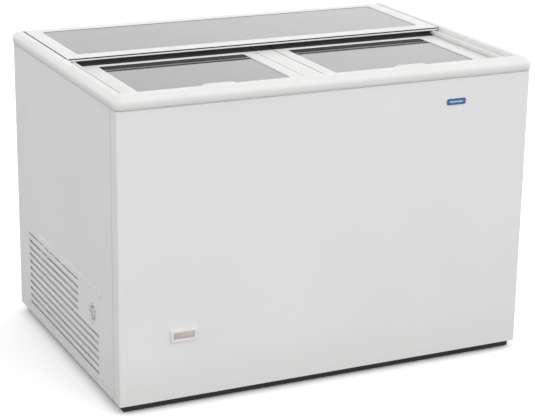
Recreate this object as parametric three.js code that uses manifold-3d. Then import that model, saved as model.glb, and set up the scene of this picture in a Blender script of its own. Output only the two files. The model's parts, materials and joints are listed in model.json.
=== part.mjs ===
// Glass-top chest freezer: one rear lid on an upper track, two front lids on a lower track,
// and a machine bay behind a louvred grille in the left end.
//
// Millimetres. +X is the right end, -Y the front, +Z up.
// The origin is on the floor, under the middle of the cabinet.

import * as THREE from 'three';
import { mergeVertices } from 'three/addons/utils/BufferGeometryUtils.js';
import Module from 'manifold-3d';

const wasm = await Module();
wasm.setup();

// ---------------------------------------------------------------- driving dimensions

// Cabinet
const BODY_W = 1230;
const BODY_D = 866;
const PANEL_H = 809;
const FOOT_H = 24;
const SHEET = 1.2;
const GAP = 0.3;
const OVERCUT = 5;
const LAP = 1;
const PANEL_CORNER_R = 2.5;
const CORNER_RETURN = 44;
const CORNER_SEAM = 2;

// Top rim
const RIM_H = 37;
const RIM_OVERHANG = 7;
const RIM_CORNER_R = 24;
const RIM_NOSE_R = 13;
const RIM_LIP = 4;
const RIM_TUCK = 7;
const RIM_TUCK_CLEAR = 0.5;
const SIDE_RIM_W = 32;
const FRONT_RIM_W = 48;
const REAR_RIM_W = 16;

// Tracks inside the rim
const UPPER_TRACK_W = 18;
const RIDGE_W = 7;
const RIDGE_H = 2.5;
const LOWER_TRACK_W = 25;
const UPPER_TRACK_DEPTH = 12;
const LOWER_TRACK_DEPTH = 32;
const REAR_UPPER_LEDGE_W = 22;
const REAR_LOWER_LEDGE_W = 27;
const FRONT_LEDGE_W = 20;

// Centre divider
const DIVIDER_W = 59;
const DIVIDER_LEDGE_W = 16;
const DIVIDER_LEDGE_T = 9;

// Tub and insulation
const LINER_T = 1.5;
const LINER_CORNER_R = 40;
const LINER_FLANGE_W = 15;
const FLOOR_FOAM_T = 62;
const BAY_FOAM_T = 50;
const DRAIN_FROM_STEP = 90;
const DRAIN_FROM_FRONT = 90;
const DRAIN_R = 12;
const DRAIN_CAP_R = 18;
const DRAIN_CAP_T = 4;
const DRAIN_DEPTH = 16;
const DRAIN_PULL_R = 6;
const DRAIN_PULL_H = 8;

// Machine bay in the left end
const BAY_W = 268;
const BAY_H = 286;

// Lids
const LID_CLEAR = 1;
const REAR_LID_SIDE_CLEAR = 4;
const FRONT_LID_SIDE_CLEAR = 2;
const LID_CORNER_R = 6;
const WINDOW_CORNER_R = 9;
const GLASS_T = 4;
const GLASS_GRIP = 8;
const SPLIT_Y = 26;
const LID_OVERLAP = 32;
const FRONT_LID_T = 10;
const FRONT_PANE_RECESS = 2.2;
const FRONT_LID_BARS = { outer: 56, inner: 39, front: 73, rear: 58 };
const REAR_LID_T = 9;
const REAR_PANE_RECESS = 2;
const REAR_LID_BARS = { outer: 46, inner: 46, front: 48, rear: 30 };
const RUNNER_W = 11;
const RUNNER_INSET = 1;
const RUNNER_END_INSET = 10;
const HANDLE_L = 116;
const HANDLE_RAMP = 22;
const HANDLE_D = 36;
const HANDLE_H = 10;
const HANDLE_FROM_WINDOW = 2;
const SCOOP_R = 16;
const SCOOP_Z = 14.5;
const SCOOP_SET_BACK = 4;
const SEAL_W = 8;
const SEAL_INSET = 9;
const SEAL_END_INSET = 2;
const SEAL_CLEAR = 1.2;
const SEAL_FLANGE_W = 20;
const SEAL_FLANGE_T = 3;

// Side grille
const GRILLE_FRONT_INSET = 131;
const GRILLE_REAR_INSET = 82;
const GRILLE_BOTTOM = 22;
const GRILLE_H = 256;
const GRILLE_T = 3.5;
const GRILLE_PROUD = 1.5;
const GRILLE_CLEAR = 0.5;
const SLOT_ROWS = 11;
const SHORT_ROWS = 5;
const SLOT_H = 9.5;
const SLOT_TOP_INSET = 24;
const SLOT_BOTTOM_INSET = 16;
const SLOT_REAR_INSET = 18;
const SLOT_FRONT_INSET = 26;
const TOP_ROW_PARTS = 3;
const TOP_ROW_BRIDGE = 7;
const DIAL_ZONE = 190;
const LOUVRE_LEAN = 0.6;
const LOUVRE_T = 1.6;
const LOUVRE_REACH = 14;
const LOUVRE_SIDE_LAP = 2;
const LOUVRE_SET_BACK = 1.2;
const LOUVRE_LIFT = 0.4;
const DIAL_FROM_FRONT = 70;
const DIAL_FROM_TOP = 80;
const DIAL_CUP_R = 22;
const DIAL_CUP_DEPTH = 10;
const DIAL_CUP_WALL = 2.5;
const DIAL_CUP_FLOOR_T = 3;
const KNOB_R = 16;
const KNOB_PROUD = 2;
const KNOB_CROWN_H = 1.4;
const KNOB_CLEAR = 1.5;
const KNOB_POINTER_W = 4.4;
const KNOB_POINTER_H = 1;
const KNOB_SHAFT_R = 3;
const KNOB_SHAFT_CLEAR = 1;
const KNOB_SHAFT_BEYOND_CUP = 9;
const THERMOSTAT_H = 44;
const THERMOSTAT_D = 34;
const THERMOSTAT_L = 28;
const THERMOSTAT_CORNER_R = 4;
const SCREW_R = 2;
const SCREW_L = 9;
const SCREW_HEAD_R = 4;
const SCREW_HEAD_T = 1.8;
const SCREW_INSET = 11;

// Front fittings
const INDICATOR_W = 76;
const INDICATOR_H = 36;
const INDICATOR_FROM_LEFT = 183;
const INDICATOR_FROM_BOTTOM = 180;
const INDICATOR_PROUD = 5;
const INDICATOR_CORNER_R = 3;
const INDICATOR_LAP = 4;
const SLEEVE_INSET = 5;
const SLEEVE_CORNER_R = 2;
const SLEEVE_DEPTH = 16;
const WINDOW_W = 60;
const WINDOW_H = 18;
const LENS_SET_BACK = 1;
const LENS_T = 3;
const BOARD_D = 12;
const BADGE_W = 60;
const BADGE_H = 18;
const BADGE_T = 1.8;
const BADGE_CORNER_R = 5;
const BADGE_FROM_RIGHT = 236;
const BADGE_FROM_TOP = 66;

// Rear sheet: vents behind the machine bay, and the mains gland
const REAR_VENTS = 6;
const REAR_VENT_W = 150;
const REAR_VENT_H = 6;
const REAR_VENT_PITCH = 18;
const REAR_VENT_FROM_BOTTOM = 130;
const GLAND_FROM_SIDE = 70;
const GLAND_FROM_BOTTOM = 70;
const GLAND_R = 9;
const GLAND_BORE_R = 3.6;
const GLAND_DEPTH = 16;
const GLAND_FLANGE_W = 4;
const GLAND_FLANGE_T = 4;
const GLAND_CHAMFER = 1.5;

// Compressor on its tray
const COMPRESSOR_R = 84;
const COMPRESSOR_H = 168;
const COMPRESSOR_OVAL = 0.88;
const COMPRESSOR_FROM_REAR = 190;
const MOUNT_SPACING_X = 170;
const MOUNT_SPACING_Y = 120;
const MOUNT_H = 12;
const MOUNT_R = 11;
const MOUNT_WAIST = 2;
const PLATE_MARGIN = 14;
const PLATE_T = 6;
const STUB_X = 34;
const STUB_R = 4;
const STUB_H = 14;
const TERMINAL_W = 52;
const TERMINAL_D = 22;
const TERMINAL_H = 66;
const TERMINAL_Z = 40;
const TRAY_T = 2;
const TRAY_MARGIN_X = 26;
const TRAY_MARGIN_Y = 34;
const TRAY_LIP_H = 10;

// Fan and condenser
const FAN_R = 84;
const FAN_DEPTH = 24;
const FAN_BLADES = 5;
const FAN_FROM_CAN = 95;
const FAN_ABOVE_CENTRE = 12;
const FAN_CLEAR = 4;
const HUB_R = 17;
const HUB_H = 18;
const BLADE_W = 38;
const BLADE_T = 2.4;
const BLADE_PITCH = 0.55;
const DUCT_T = 2.5;
const SHROUD_W = 210;
const SHROUD_T = 2;
const MOTOR_R = 30;
const MOTOR_L = 40;
const MOTOR_FROM_DUCT = 8;
const SPINDLE_R = 3;
const STRAP_W = 24;
const STRAP_T = 3;
const STRAP_INSET = 6;
const CONDENSER_W = 216;
const CONDENSER_H = 220;
const CONDENSER_D = 48;
const FIN_PITCH = 12;
const FIN_SLOT = 9;
const CONDENSER_END_W = 4;
const CONDENSER_HEADER_H = 8;
const CONDENSER_FROM_FAN = 10;

// Refrigerant lines
const DISCHARGE_R = 3;
const SUCTION_R = 4;
const LINE_RISE = 26;
const LINE_BEND_R = 14;
const LINE_FROM_CONDENSER = 8;
const DISCHARGE_DROP_BEHIND = 20;
const DISCHARGE_END_FROM_TOP = 20;
const SUCTION_FROM_WALL = 24;
const SUCTION_REACH = 90;
const DRIER_R = 11;
const DRIER_HALF_L = 36;
const DRIER_NECK_L = 10;
const DRIER_TAIL_L = 14;
const DRIER_TAIL_R = 3;
const DRIER_FROM_END = 30;
const DRIER_FROM_CONDENSER = 75;
const DRIER_Z = 60;

// Evaporator tube wound round the tub
const COIL_TUBE_R = 4;
const COIL_CLEAR = 1;
const COIL_TURNS = 4;
const COIL_SIDES = 6;
const COIL_FROM_TOP = 70;
const COIL_FROM_STEP = 40;

// Feet
const FOOT_R = 26;
const FOOT_INSET = 54;
const FOOT_CHAMFER = 2;
const FOOT_EDGE_H = 3;
const FOOT_TAPER = 4;

// Stiffening rails under the base pan, outside the feet
const RAIL_INSET = 14;
const RAIL_W = 12;
const RAIL_FROM_FLOOR = 4;

// ---------------------------------------------------------------- places worked out from them

const bodyX = BODY_W / 2;
const bodyY = BODY_D / 2;
const rimX = bodyX + RIM_OVERHANG;
const rimY = bodyY + RIM_OVERHANG;
const insideX = bodyX - SHEET - GAP;
const insideY = bodyY - SHEET - GAP;

const panelZ = FOOT_H;
const rimZ = FOOT_H + PANEL_H;
const rimTopZ = rimZ + RIM_H;
const tuckZ = rimZ - RIM_TUCK;
const upperTrackZ = rimTopZ - UPPER_TRACK_DEPTH;
const lowerTrackZ = rimTopZ - LOWER_TRACK_DEPTH;

const upperWallX = rimX - SIDE_RIM_W;
const ridgeX = upperWallX - UPPER_TRACK_W;
const lowerWallX = ridgeX - RIDGE_W;
const tubX = lowerWallX - LOWER_TRACK_W;
const frontWallY = -rimY + FRONT_RIM_W;
const rearUpperWallY = rimY - REAR_RIM_W;
const rearLowerWallY = rearUpperWallY - REAR_UPPER_LEDGE_W;
const tubFrontY = frontWallY + FRONT_LEDGE_W;
const tubRearY = rearLowerWallY - REAR_LOWER_LEDGE_W;

const floorZ = panelZ + SHEET + FLOOR_FOAM_T;
const bayX = -bodyX + BAY_W;
const bayZ = panelZ + BAY_H;
const stepX = bayX + BAY_FOAM_T;
const stepZ = bayZ + BAY_FOAM_T;

const grilleFrontY = -bodyY + GRILLE_FRONT_INSET;
const grilleRearY = bodyY - GRILLE_REAR_INSET;
const grilleZ = panelZ + GRILLE_BOTTOM;
const grilleTopZ = grilleZ + GRILLE_H;
const grilleFaceX = -bodyX - GRILLE_PROUD;
const slotPitch = (GRILLE_H - SLOT_TOP_INSET - SLOT_BOTTOM_INSET) / (SLOT_ROWS - 1);
const dialY = grilleFrontY + DIAL_FROM_FRONT;
const dialZ = grilleTopZ - DIAL_FROM_TOP;

const knobRise = KNOB_PROUD + KNOB_CROWN_H;
const glandX = -bodyX + GLAND_FROM_SIDE;
const glandZ = panelZ + GLAND_FROM_BOTTOM;
const drainX = stepX + DRAIN_FROM_STEP;
const drainY = tubFrontY + DRAIN_FROM_FRONT;

const compressorX = -bodyX + BAY_W / 2;
const compressorY = bodyY - COMPRESSOR_FROM_REAR;
const trayTopZ = panelZ + SHEET + GAP + TRAY_T;

// ---------------------------------------------------------------- materials

const paint = (color, roughness, metalness = 0) =>
  new THREE.MeshStandardMaterial({ color, roughness, metalness });

const whitePaint = () => paint(0xe6e7e8, 0.35);
const whitePlastic = () => paint(0xefefee, 0.4);
const linerPaint = () => paint(0xeceded, 0.3);
const foam = () => paint(0xd9c98f, 0.95);
const glass = () =>
  new THREE.MeshStandardMaterial({ color: 0xb9bcbc, roughness: 0.08, transparent: true, opacity: 0.4 });
const blackRubber = () => paint(0x1a1a1b, 0.75);
const blackPlastic = () => paint(0x242526, 0.55);
const greyPlastic = () => paint(0xb4b7b9, 0.45);
const bluePlate = () => paint(0x2c62a8, 0.35);
const smokedLens = () => paint(0xb08a86, 0.2);
const galvanised = () => paint(0xaeb3b6, 0.45, 0.8);
const blackSteel = () => paint(0x17181a, 0.4, 0.3);
const aluminium = () => paint(0xc3c6c9, 0.4, 0.9);
const copper = () => paint(0xb87349, 0.35, 0.9);

// ---------------------------------------------------------------- shape helpers

/** A closed geometry as a solid that can be cut and joined. */
function solid(geometry) {
  const bare = geometry.clone();
  bare.deleteAttribute('normal');
  bare.deleteAttribute('uv');
  const merged = mergeVertices(bare, 1e-4);
  const corners = Array.from(merged.index.array);
  const kept = [];
  for (let i = 0; i < corners.length; i += 3) {
    const [a, b, c] = corners.slice(i, i + 3);
    if (a !== b && b !== c && c !== a) kept.push(a, b, c);
  }
  return new wasm.Manifold(new wasm.Mesh({
    numProp: 3,
    vertProperties: new Float32Array(merged.attributes.position.array),
    triVerts: new Uint32Array(kept),
  }));
}

/** A solid back as a geometry. */
function shell(manifold) {
  const mesh = manifold.getMesh();
  const geometry = new THREE.BufferGeometry();
  geometry.setAttribute('position', new THREE.BufferAttribute(mesh.vertProperties, 3));
  geometry.setIndex(new THREE.BufferAttribute(mesh.triVerts, 1));
  geometry.computeVertexNormals();
  return geometry;
}

const join = (first, ...more) => shell(more.reduce((sum, part) => sum.add(solid(part)), solid(first)));
const cut = (base, ...tools) => shell(tools.reduce((sum, tool) => sum.subtract(solid(tool)), solid(base)));
const common = (a, b) => shell(solid(a).intersect(solid(b)));

/** A block between two corners. */
function block(x0, x1, y0, y1, z0, z1) {
  const geometry = new THREE.BoxGeometry(x1 - x0, y1 - y0, z1 - z0);
  geometry.translate((x0 + x1) / 2, (y0 + y1) / 2, (z0 + z1) / 2);
  return geometry;
}

/** A rectangle with round corners. */
function roundedRectangle(x0, x1, y0, y1, r) {
  const shape = new THREE.Shape();
  shape.absarc(x1 - r, y0 + r, r, -Math.PI / 2, 0);
  shape.absarc(x1 - r, y1 - r, r, 0, Math.PI / 2);
  shape.absarc(x0 + r, y1 - r, r, Math.PI / 2, Math.PI);
  shape.absarc(x0 + r, y0 + r, r, Math.PI, Math.PI * 1.5);
  return shape;
}

/** An outline in X and Y, raised from z0 to z1. */
function raise(shape, z0, z1, curveSegments = 4) {
  const geometry = new THREE.ExtrudeGeometry(shape, { depth: z1 - z0, bevelEnabled: false, curveSegments });
  geometry.translate(0, 0, z0);
  return geometry;
}

const roundedBlock = (x0, x1, y0, y1, z0, z1, r, segments) =>
  raise(roundedRectangle(x0, x1, y0, y1, r), z0, z1, segments);

/** A closed outline through points. */
const outline = (points) => new THREE.Shape(points.map(([x, y]) => new THREE.Vector2(x, y)));

/** A round bar along one axis, from one place to another on it. */
function bar(axis, r, from, to, segments = 20) {
  const geometry = new THREE.CylinderGeometry(r, r, to - from, segments);
  geometry.translate(0, (from + to) / 2, 0);
  if (axis === 'x') geometry.rotateZ(-Math.PI / 2);
  if (axis === 'z') geometry.rotateX(Math.PI / 2);
  return geometry;
}

/** A turned piece about Z, from [radius, height] points that start and end on the axis. */
function turned(points, segments = 24) {
  const geometry = new THREE.LatheGeometry(points.map(([r, h]) => new THREE.Vector2(r, h)), segments);
  return geometry.rotateX(Math.PI / 2);
}

/** A geometry moved to a place. */
const moved = (geometry, x, y, z) => geometry.clone().translate(x, y, z);

/** A path with one tube section at each of its points. */
class RoutedPath extends THREE.Curve {
  constructor(points) {
    super();
    this.points = points;
  }

  getUtoTmapping(u) {
    return u;
  }

  getPoint(t, target = new THREE.Vector3()) {
    const place = t * (this.points.length - 1);
    const i = Math.min(Math.floor(place), this.points.length - 2);
    return target.lerpVectors(this.points[i], this.points[i + 1], place - i);
  }

  getTangent(t, target = new THREE.Vector3()) {
    const last = this.points.length - 1;
    const i = Math.round(t * last);
    const here = this.points[i];
    const before = new THREE.Vector3().subVectors(here, this.points[Math.max(i - 1, 0)]).normalize();
    const after = new THREE.Vector3().subVectors(this.points[Math.min(i + 1, last)], here).normalize();
    return target.addVectors(before, after).normalize();
  }
}

/** A round tube along points. */
function tube(points, r, sides = 8) {
  const ring = new THREE.Shape(Array.from({ length: sides }, (_, i) => {
    const angle = (i / sides) * Math.PI * 2;
    return new THREE.Vector2(r * Math.cos(angle), r * Math.sin(angle));
  }));
  const extrudePath = new RoutedPath(points);
  return new THREE.ExtrudeGeometry(ring, { steps: points.length - 1, extrudePath, bevelEnabled: false });
}

/** Points along straight runs whose corners are rounded off. */
function bent(corners, r, steps = 4) {
  const points = [corners[0].clone()];
  for (let i = 1; i < corners.length - 1; i += 1) {
    const inward = new THREE.Vector3().subVectors(corners[i - 1], corners[i]).setLength(r).add(corners[i]);
    const outward = new THREE.Vector3().subVectors(corners[i + 1], corners[i]).setLength(r).add(corners[i]);
    const bend = new THREE.QuadraticBezierCurve3(inward, corners[i], outward);
    points.push(...bend.getPoints(steps));
  }
  points.push(corners[corners.length - 1].clone());
  return points;
}

const v = (x, y, z) => new THREE.Vector3(x, y, z);

const freezer = new THREE.Group();

/** Adds a named sub-part at a place in its group. */
function add(group, name, geometry, material, x = 0, y = 0, z = 0) {
  const mesh = new THREE.Mesh(geometry, material);
  mesh.name = name;
  mesh.position.set(x, y, z);
  group.add(mesh);
  return mesh;
}

// ---------------------------------------------------------------- cabinet shell

const cabinet = new THREE.Group();
freezer.add(cabinet);

/** The front sheet, whose ends fold back round both front corners. */
function frontPanel() {
  const r = PANEL_CORNER_R;
  const backY = -bodyY + CORNER_RETURN;
  const shape = new THREE.Shape();
  shape.moveTo(-bodyX, backY);
  shape.absarc(-bodyX + r, -bodyY + r, r, Math.PI, Math.PI * 1.5);
  shape.absarc(bodyX - r, -bodyY + r, r, -Math.PI / 2, 0);
  shape.lineTo(bodyX, backY);
  shape.lineTo(bodyX - SHEET, backY);
  shape.lineTo(bodyX - SHEET, -bodyY + SHEET);
  shape.lineTo(-bodyX + SHEET, -bodyY + SHEET);
  shape.lineTo(-bodyX + SHEET, backY);
  shape.closePath();
  const sheet = raise(shape, 0, PANEL_H - GAP);
  const middleX = -bodyX + INDICATOR_FROM_LEFT;
  const halfW = INDICATOR_W / 2 - INDICATOR_LAP;
  const halfH = INDICATOR_H / 2 - INDICATOR_LAP;
  const z = INDICATOR_FROM_BOTTOM;
  const hole = block(
    middleX - halfW, middleX + halfW, -bodyY - OVERCUT, -bodyY + OVERCUT, z - halfH, z + halfH,
  );
  return cut(sheet, hole);
}

const sideFrontY = -bodyY + CORNER_RETURN + CORNER_SEAM;
const sidePanel = (x0) => block(x0, x0 + SHEET, sideFrontY, bodyY, 0, PANEL_H - GAP);

/** The left side sheet, cut away for the grille. */
function leftSidePanel() {
  const top = GRILLE_BOTTOM + GRILLE_H;
  const opening = block(-bodyX - OVERCUT, -bodyX + OVERCUT, grilleFrontY, grilleRearY, GRILLE_BOTTOM, top);
  return cut(sidePanel(-bodyX), opening);
}

/** The rear sheet, with vents behind the machine bay and a hole for the mains gland. */
function rearPanel() {
  const sheet = block(-insideX, insideX, bodyY - SHEET, bodyY, 0, PANEL_H - GAP);
  const [x0, x1] = [compressorX - REAR_VENT_W / 2, compressorX + REAR_VENT_W / 2];
  const vents = Array.from({ length: REAR_VENTS }, (_, i) => {
    const z = REAR_VENT_FROM_BOTTOM + i * REAR_VENT_PITCH;
    return block(x0, x1, bodyY - OVERCUT, bodyY + OVERCUT, z, z + REAR_VENT_H);
  });
  const hole = bar('y', GLAND_R + GAP, bodyY - OVERCUT, bodyY + OVERCUT);
  return cut(sheet, moved(hole, glandX, 0, glandZ - panelZ), ...vents);
}

add(cabinet, 'front_panel', frontPanel(), whitePaint(), 0, 0, panelZ);
add(cabinet, 'left_side_panel', leftSidePanel(), whitePaint(), 0, 0, panelZ);
add(cabinet, 'right_side_panel', sidePanel(bodyX - SHEET), whitePaint(), 0, 0, panelZ);
add(cabinet, 'rear_panel', rearPanel(), whitePaint(), 0, 0, panelZ);

/** The bottom sheet, with a rail folded down along each side, just outside the feet. */
function basePan() {
  const sheet = block(-insideX, insideX, -insideY, insideY, 0, SHEET);
  const [x, y] = [bodyX - RAIL_INSET, bodyY - RAIL_INSET];
  const foot = RAIL_FROM_FLOOR - FOOT_H;
  const outside = block(-x, x, -y, y, foot, SHEET);
  const inside = block(-x + RAIL_W, x - RAIL_W, -y + RAIL_W, y - RAIL_W, foot - OVERCUT, SHEET + OVERCUT);
  return join(sheet, cut(outside, inside));
}

add(cabinet, 'base_pan', basePan(), blackSteel(), 0, 0, panelZ);

/** The sheet that closes the machine bay off from the insulation. */
function machineBayCover() {
  const wall = block(bayX - SHEET, bayX, -insideY, insideY, panelZ + SHEET + GAP, bayZ);
  const roof = block(-insideX, bayX, -insideY, insideY, bayZ - SHEET, bayZ);
  return join(wall, roof);
}

add(cabinet, 'machine_bay_cover', machineBayCover(), galvanised());

// ---------------------------------------------------------------- tub and insulation

/** The space inside the tub, grown by a margin, from above the step down to the floor. */
function tubSpace(grow, top) {
  const r = LINER_CORNER_R + grow;
  const front = tubFrontY - grow;
  const rear = tubRearY + grow;
  const upper = roundedBlock(-tubX - grow, tubX + grow, front, rear, stepZ - grow, top, r, 5);
  const lower = roundedBlock(stepX - grow, tubX + grow, front, rear, floorZ - grow, top, r, 5);
  return join(upper, lower);
}

/** The tub, stepped over the machine bay, with a flange that the rim clamps. */
function innerLiner() {
  const flangeR = LINER_CORNER_R + LINER_FLANGE_W;
  const out = LINER_FLANGE_W;
  const top = tuckZ - GAP;
  const flange = roundedBlock(
    -tubX - out, tubX + out, tubFrontY - out, tubRearY + out, top - LINER_T, top, flangeR, 5,
  );
  const body = join(tubSpace(LINER_T, top), flange);
  const drain = moved(bar('z', DRAIN_R + GAP, floorZ - OVERCUT, floorZ + OVERCUT), drainX, drainY, 0);
  return cut(body, tubSpace(0, top + OVERCUT), drain);
}

/** The evaporator's route: turns round the tub, each a little lower than the last. */
function coilPoints() {
  const r = LINER_CORNER_R + LINER_T + COIL_CLEAR + COIL_TUBE_R;
  const topZ = tuckZ - COIL_FROM_TOP;
  const pitch = (topZ - stepZ - COIL_FROM_STEP) / COIL_TURNS;
  const cornerX = tubX - LINER_CORNER_R;
  const corners = [
    [cornerX, tubFrontY + LINER_CORNER_R, -Math.PI / 2],
    [cornerX, tubRearY - LINER_CORNER_R, 0],
    [-cornerX, tubRearY - LINER_CORNER_R, Math.PI / 2],
    [-cornerX, tubFrontY + LINER_CORNER_R, Math.PI],
  ];
  const bendSteps = 4;
  const points = [];
  for (let quarter = 0; quarter < COIL_TURNS * 4; quarter += 1) {
    const [x, y, start] = corners[quarter % 4];
    for (let step = 0; step <= bendSteps; step += 1) {
      const angle = start + (step / bendSteps) * (Math.PI / 2);
      const z = topZ - (pitch * quarter) / 4;
      points.push(v(x + r * Math.cos(angle), y + r * Math.sin(angle), z));
    }
  }
  return points;
}

/** Foamed-in insulation: everything between the tub, the outer sheets and the machine bay. */
function insulationFoam() {
  const foot = panelZ + SHEET + GAP;
  const top = tuckZ - GAP - LINER_T - GAP;
  const whole = block(-insideX, insideX, -insideY, insideY, foot, top);
  const bay = block(-insideX - LAP, bayX + GAP, -insideY - LAP, insideY + LAP, foot - LAP, bayZ + GAP);
  const drain = moved(bar('z', DRAIN_R + GAP, floorZ - DRAIN_DEPTH - GAP, floorZ), drainX, drainY, 0);
  const channel = tube(coilPoints(), COIL_TUBE_R + COIL_CLEAR, COIL_SIDES);
  return cut(whole, tubSpace(LINER_T + GAP, top + OVERCUT), bay, drain, channel);
}

/** The plug in the floor drain, lifted out to let meltwater go. */
function drainPlug() {
  const [taper, edge] = [2, 1.5];
  const pullTop = DRAIN_CAP_T + DRAIN_PULL_H;
  return turned([
    [0, -DRAIN_DEPTH],
    [DRAIN_R - taper, -DRAIN_DEPTH],
    [DRAIN_R, -DRAIN_DEPTH + taper],
    [DRAIN_R, GAP],
    [DRAIN_CAP_R, GAP],
    [DRAIN_CAP_R, DRAIN_CAP_T - edge],
    [DRAIN_CAP_R - edge, DRAIN_CAP_T],
    [DRAIN_PULL_R, DRAIN_CAP_T],
    [DRAIN_PULL_R, pullTop],
    [0, pullTop],
  ], 20);
}

add(cabinet, 'inner_liner', innerLiner(), linerPaint());
add(cabinet, 'insulation_foam', insulationFoam(), foam());
add(cabinet, 'evaporator_coil', tube(coilPoints(), COIL_TUBE_R, COIL_SIDES), copper());
add(cabinet, 'drain_plug', drainPlug(), blackRubber(), drainX, drainY, floorZ);

// ---------------------------------------------------------------- top rim and divider

/** The whole rim with its round nose, stepped inside into an upper and a lower track. */
function wholeRim() {
  const n = RIM_NOSE_R;
  const nose = new THREE.ExtrudeGeometry(
    roundedRectangle(-rimX + n, rimX - n, -rimY + n, rimY - n, RIM_CORNER_R - n),
    { depth: RIM_H - n - RIM_LIP, bevelThickness: n, bevelSize: n, bevelSegments: 5, curveSegments: 5 },
  );
  nose.translate(0, 0, rimZ + RIM_LIP);
  const trimmed = common(nose, block(-rimX - LAP, rimX + LAP, -rimY - LAP, rimY + LAP, rimZ, rimTopZ));
  const inset = GAP + SHEET + RIM_TUCK_CLEAR;
  const tuck = block(-bodyX + inset, bodyX - inset, -bodyY + inset, bodyY - inset, tuckZ, rimZ + LAP);
  const above = rimTopZ + OVERCUT;
  const upper = block(-upperWallX, upperWallX, frontWallY, rearUpperWallY, upperTrackZ, above);
  const lower = block(-lowerWallX, lowerWallX, frontWallY, rearLowerWallY, lowerTrackZ, above);
  const mouth = block(-tubX, tubX, tubFrontY, tubRearY, tuckZ - OVERCUT, above);
  const [ridgeFrontY, ridgeRearY] = [frontWallY - LAP, rearUpperWallY + LAP];
  const ridges = [-ridgeX, lowerWallX].map((x) =>
    block(x, x + RIDGE_W, ridgeFrontY, ridgeRearY, upperTrackZ - LAP, upperTrackZ + RIDGE_H));
  return join(cut(join(trimmed, tuck), upper, lower, mouth), ...ridges);
}

/** The wedge of the plan that one rail of the rim keeps, mitred at 45 degrees. */
function mitre(side) {
  const reach = Math.max(rimX - tubX, rimY + tubFrontY, rimY - tubRearY) + OVERCUT;
  const half = GAP / Math.SQRT2;
  const x = rimX + LAP;
  const y = rimY + LAP;
  const outerEdge = {
    left: [[-x, y], [-x, -y]],
    right: [[x, -y], [x, y]],
    front: [[-x, -y], [x, -y]],
    rear: [[x, y], [-x, y]],
  };
  const [first, second] = outerEdge[side];
  const along = side === 'left' || side === 'right' ? 1 : 0;
  const drawIn = ([px, py]) => {
    const shifted = [px, py];
    shifted[along] -= Math.sign(shifted[along]) * half;
    return shifted;
  };
  const inward = ([px, py]) => [px - Math.sign(px) * reach, py - Math.sign(py) * reach];
  const near = [first, second].map(drawIn);
  const far = [second, first].map(inward).map(drawIn);
  return raise(outline([...near, ...far]), tuckZ - LAP, rimTopZ + LAP);
}

const rim = new THREE.Group();
cabinet.add(rim);
const rimBody = wholeRim();
for (const side of ['front', 'rear', 'left', 'right']) {
  add(rim, `${side}_rim`, common(rimBody, mitre(side)), whitePlastic());
}

/** The bar between the front lids, with a ledge on each side that they slide on. */
function centreDivider() {
  const half = DIVIDER_W / 2;
  const ledge = half + DIVIDER_LEDGE_W;
  const capTop = lowerTrackZ + GAP + FRONT_LID_T;
  const cap = block(-half, half, frontWallY + GAP, rearLowerWallY - GAP, lowerTrackZ + GAP, capTop);
  const beam = block(
    -ledge, ledge, tubFrontY + GAP, tubRearY - GAP, lowerTrackZ - DIVIDER_LEDGE_T, lowerTrackZ,
  );
  const web = block(-half, half, tubFrontY + GAP, tubRearY - GAP, lowerTrackZ - LAP, capTop - LAP);
  return join(cap, beam, web);
}

const sealFootZ = lowerTrackZ + GAP + FRONT_LID_T + GAP;
const sealH = rimTopZ - REAR_LID_T - SEAL_CLEAR - sealFootZ;

/** A rubber strip with an upright lip under the rear lid and a flat flange before it. */
function wiperSeal(length) {
  const x = length / 2;
  const lip = block(-x, x, 0, SEAL_W, 0, sealH);
  return join(lip, block(-x, x, -SEAL_FLANGE_W, LAP, 0, SEAL_FLANGE_T));
}

add(cabinet, 'centre_divider', centreDivider(), whitePlastic());
add(cabinet, 'divider_seal', wiperSeal(DIVIDER_W), blackRubber(), 0, SPLIT_Y + SEAL_INSET, sealFootZ);

// ---------------------------------------------------------------- lids

/** A lid frame and its pane, centred on the lid's plan, from its underside up. */
function framedPane(width, depth, thickness, bars, paneZ) {
  const x = width / 2;
  const y = depth / 2;
  const plate = roundedBlock(-x, x, -y, y, 0, thickness, LID_CORNER_R, 3);
  const x0 = -x + bars.outer;
  const x1 = x - bars.inner;
  const y0 = -y + bars.front;
  const y1 = y - bars.rear;
  const window = roundedBlock(x0, x1, y0, y1, -LAP, thickness + LAP, WINDOW_CORNER_R, 4);
  const g = GLASS_GRIP;
  const slot = block(
    x0 - g - GAP, x1 + g + GAP, y0 - g - GAP, y1 + g + GAP, paneZ - GAP, paneZ + GLASS_T + GAP,
  );
  const pane = block(x0 - g, x1 + g, y0 - g, y1 + g, paneZ, paneZ + GLASS_T);
  return { frame: cut(plate, window, slot), pane };
}

/** A low grip with sloping ends and a hollowed front for the fingers. */
function lidHandle() {
  const x = HANDLE_L / 2;
  const top = x - HANDLE_RAMP;
  const side = outline([[-x, 0], [x, 0], [top, HANDLE_H], [-top, HANDLE_H]]);
  const ridge = raise(side, -HANDLE_D / 2, HANDLE_D / 2);
  ridge.rotateX(Math.PI / 2);
  const scoop = moved(bar('x', SCOOP_R, -top, top, 24), 0, -HANDLE_D / 2 - SCOOP_SET_BACK, SCOOP_Z);
  return cut(ridge, scoop);
}

const frontLidW = lowerWallX - FRONT_LID_SIDE_CLEAR - DIVIDER_W / 2 - LID_CLEAR;
const frontLidX = DIVIDER_W / 2 + LID_CLEAR + frontLidW / 2;
const frontLidFrontY = frontWallY + LID_CLEAR;
const frontLidRearY = SPLIT_Y + LID_OVERLAP;
const frontLidD = frontLidRearY - frontLidFrontY;
const frontLidY = (frontLidFrontY + frontLidRearY) / 2;
const frontLidZ = lowerTrackZ + GAP;

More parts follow.
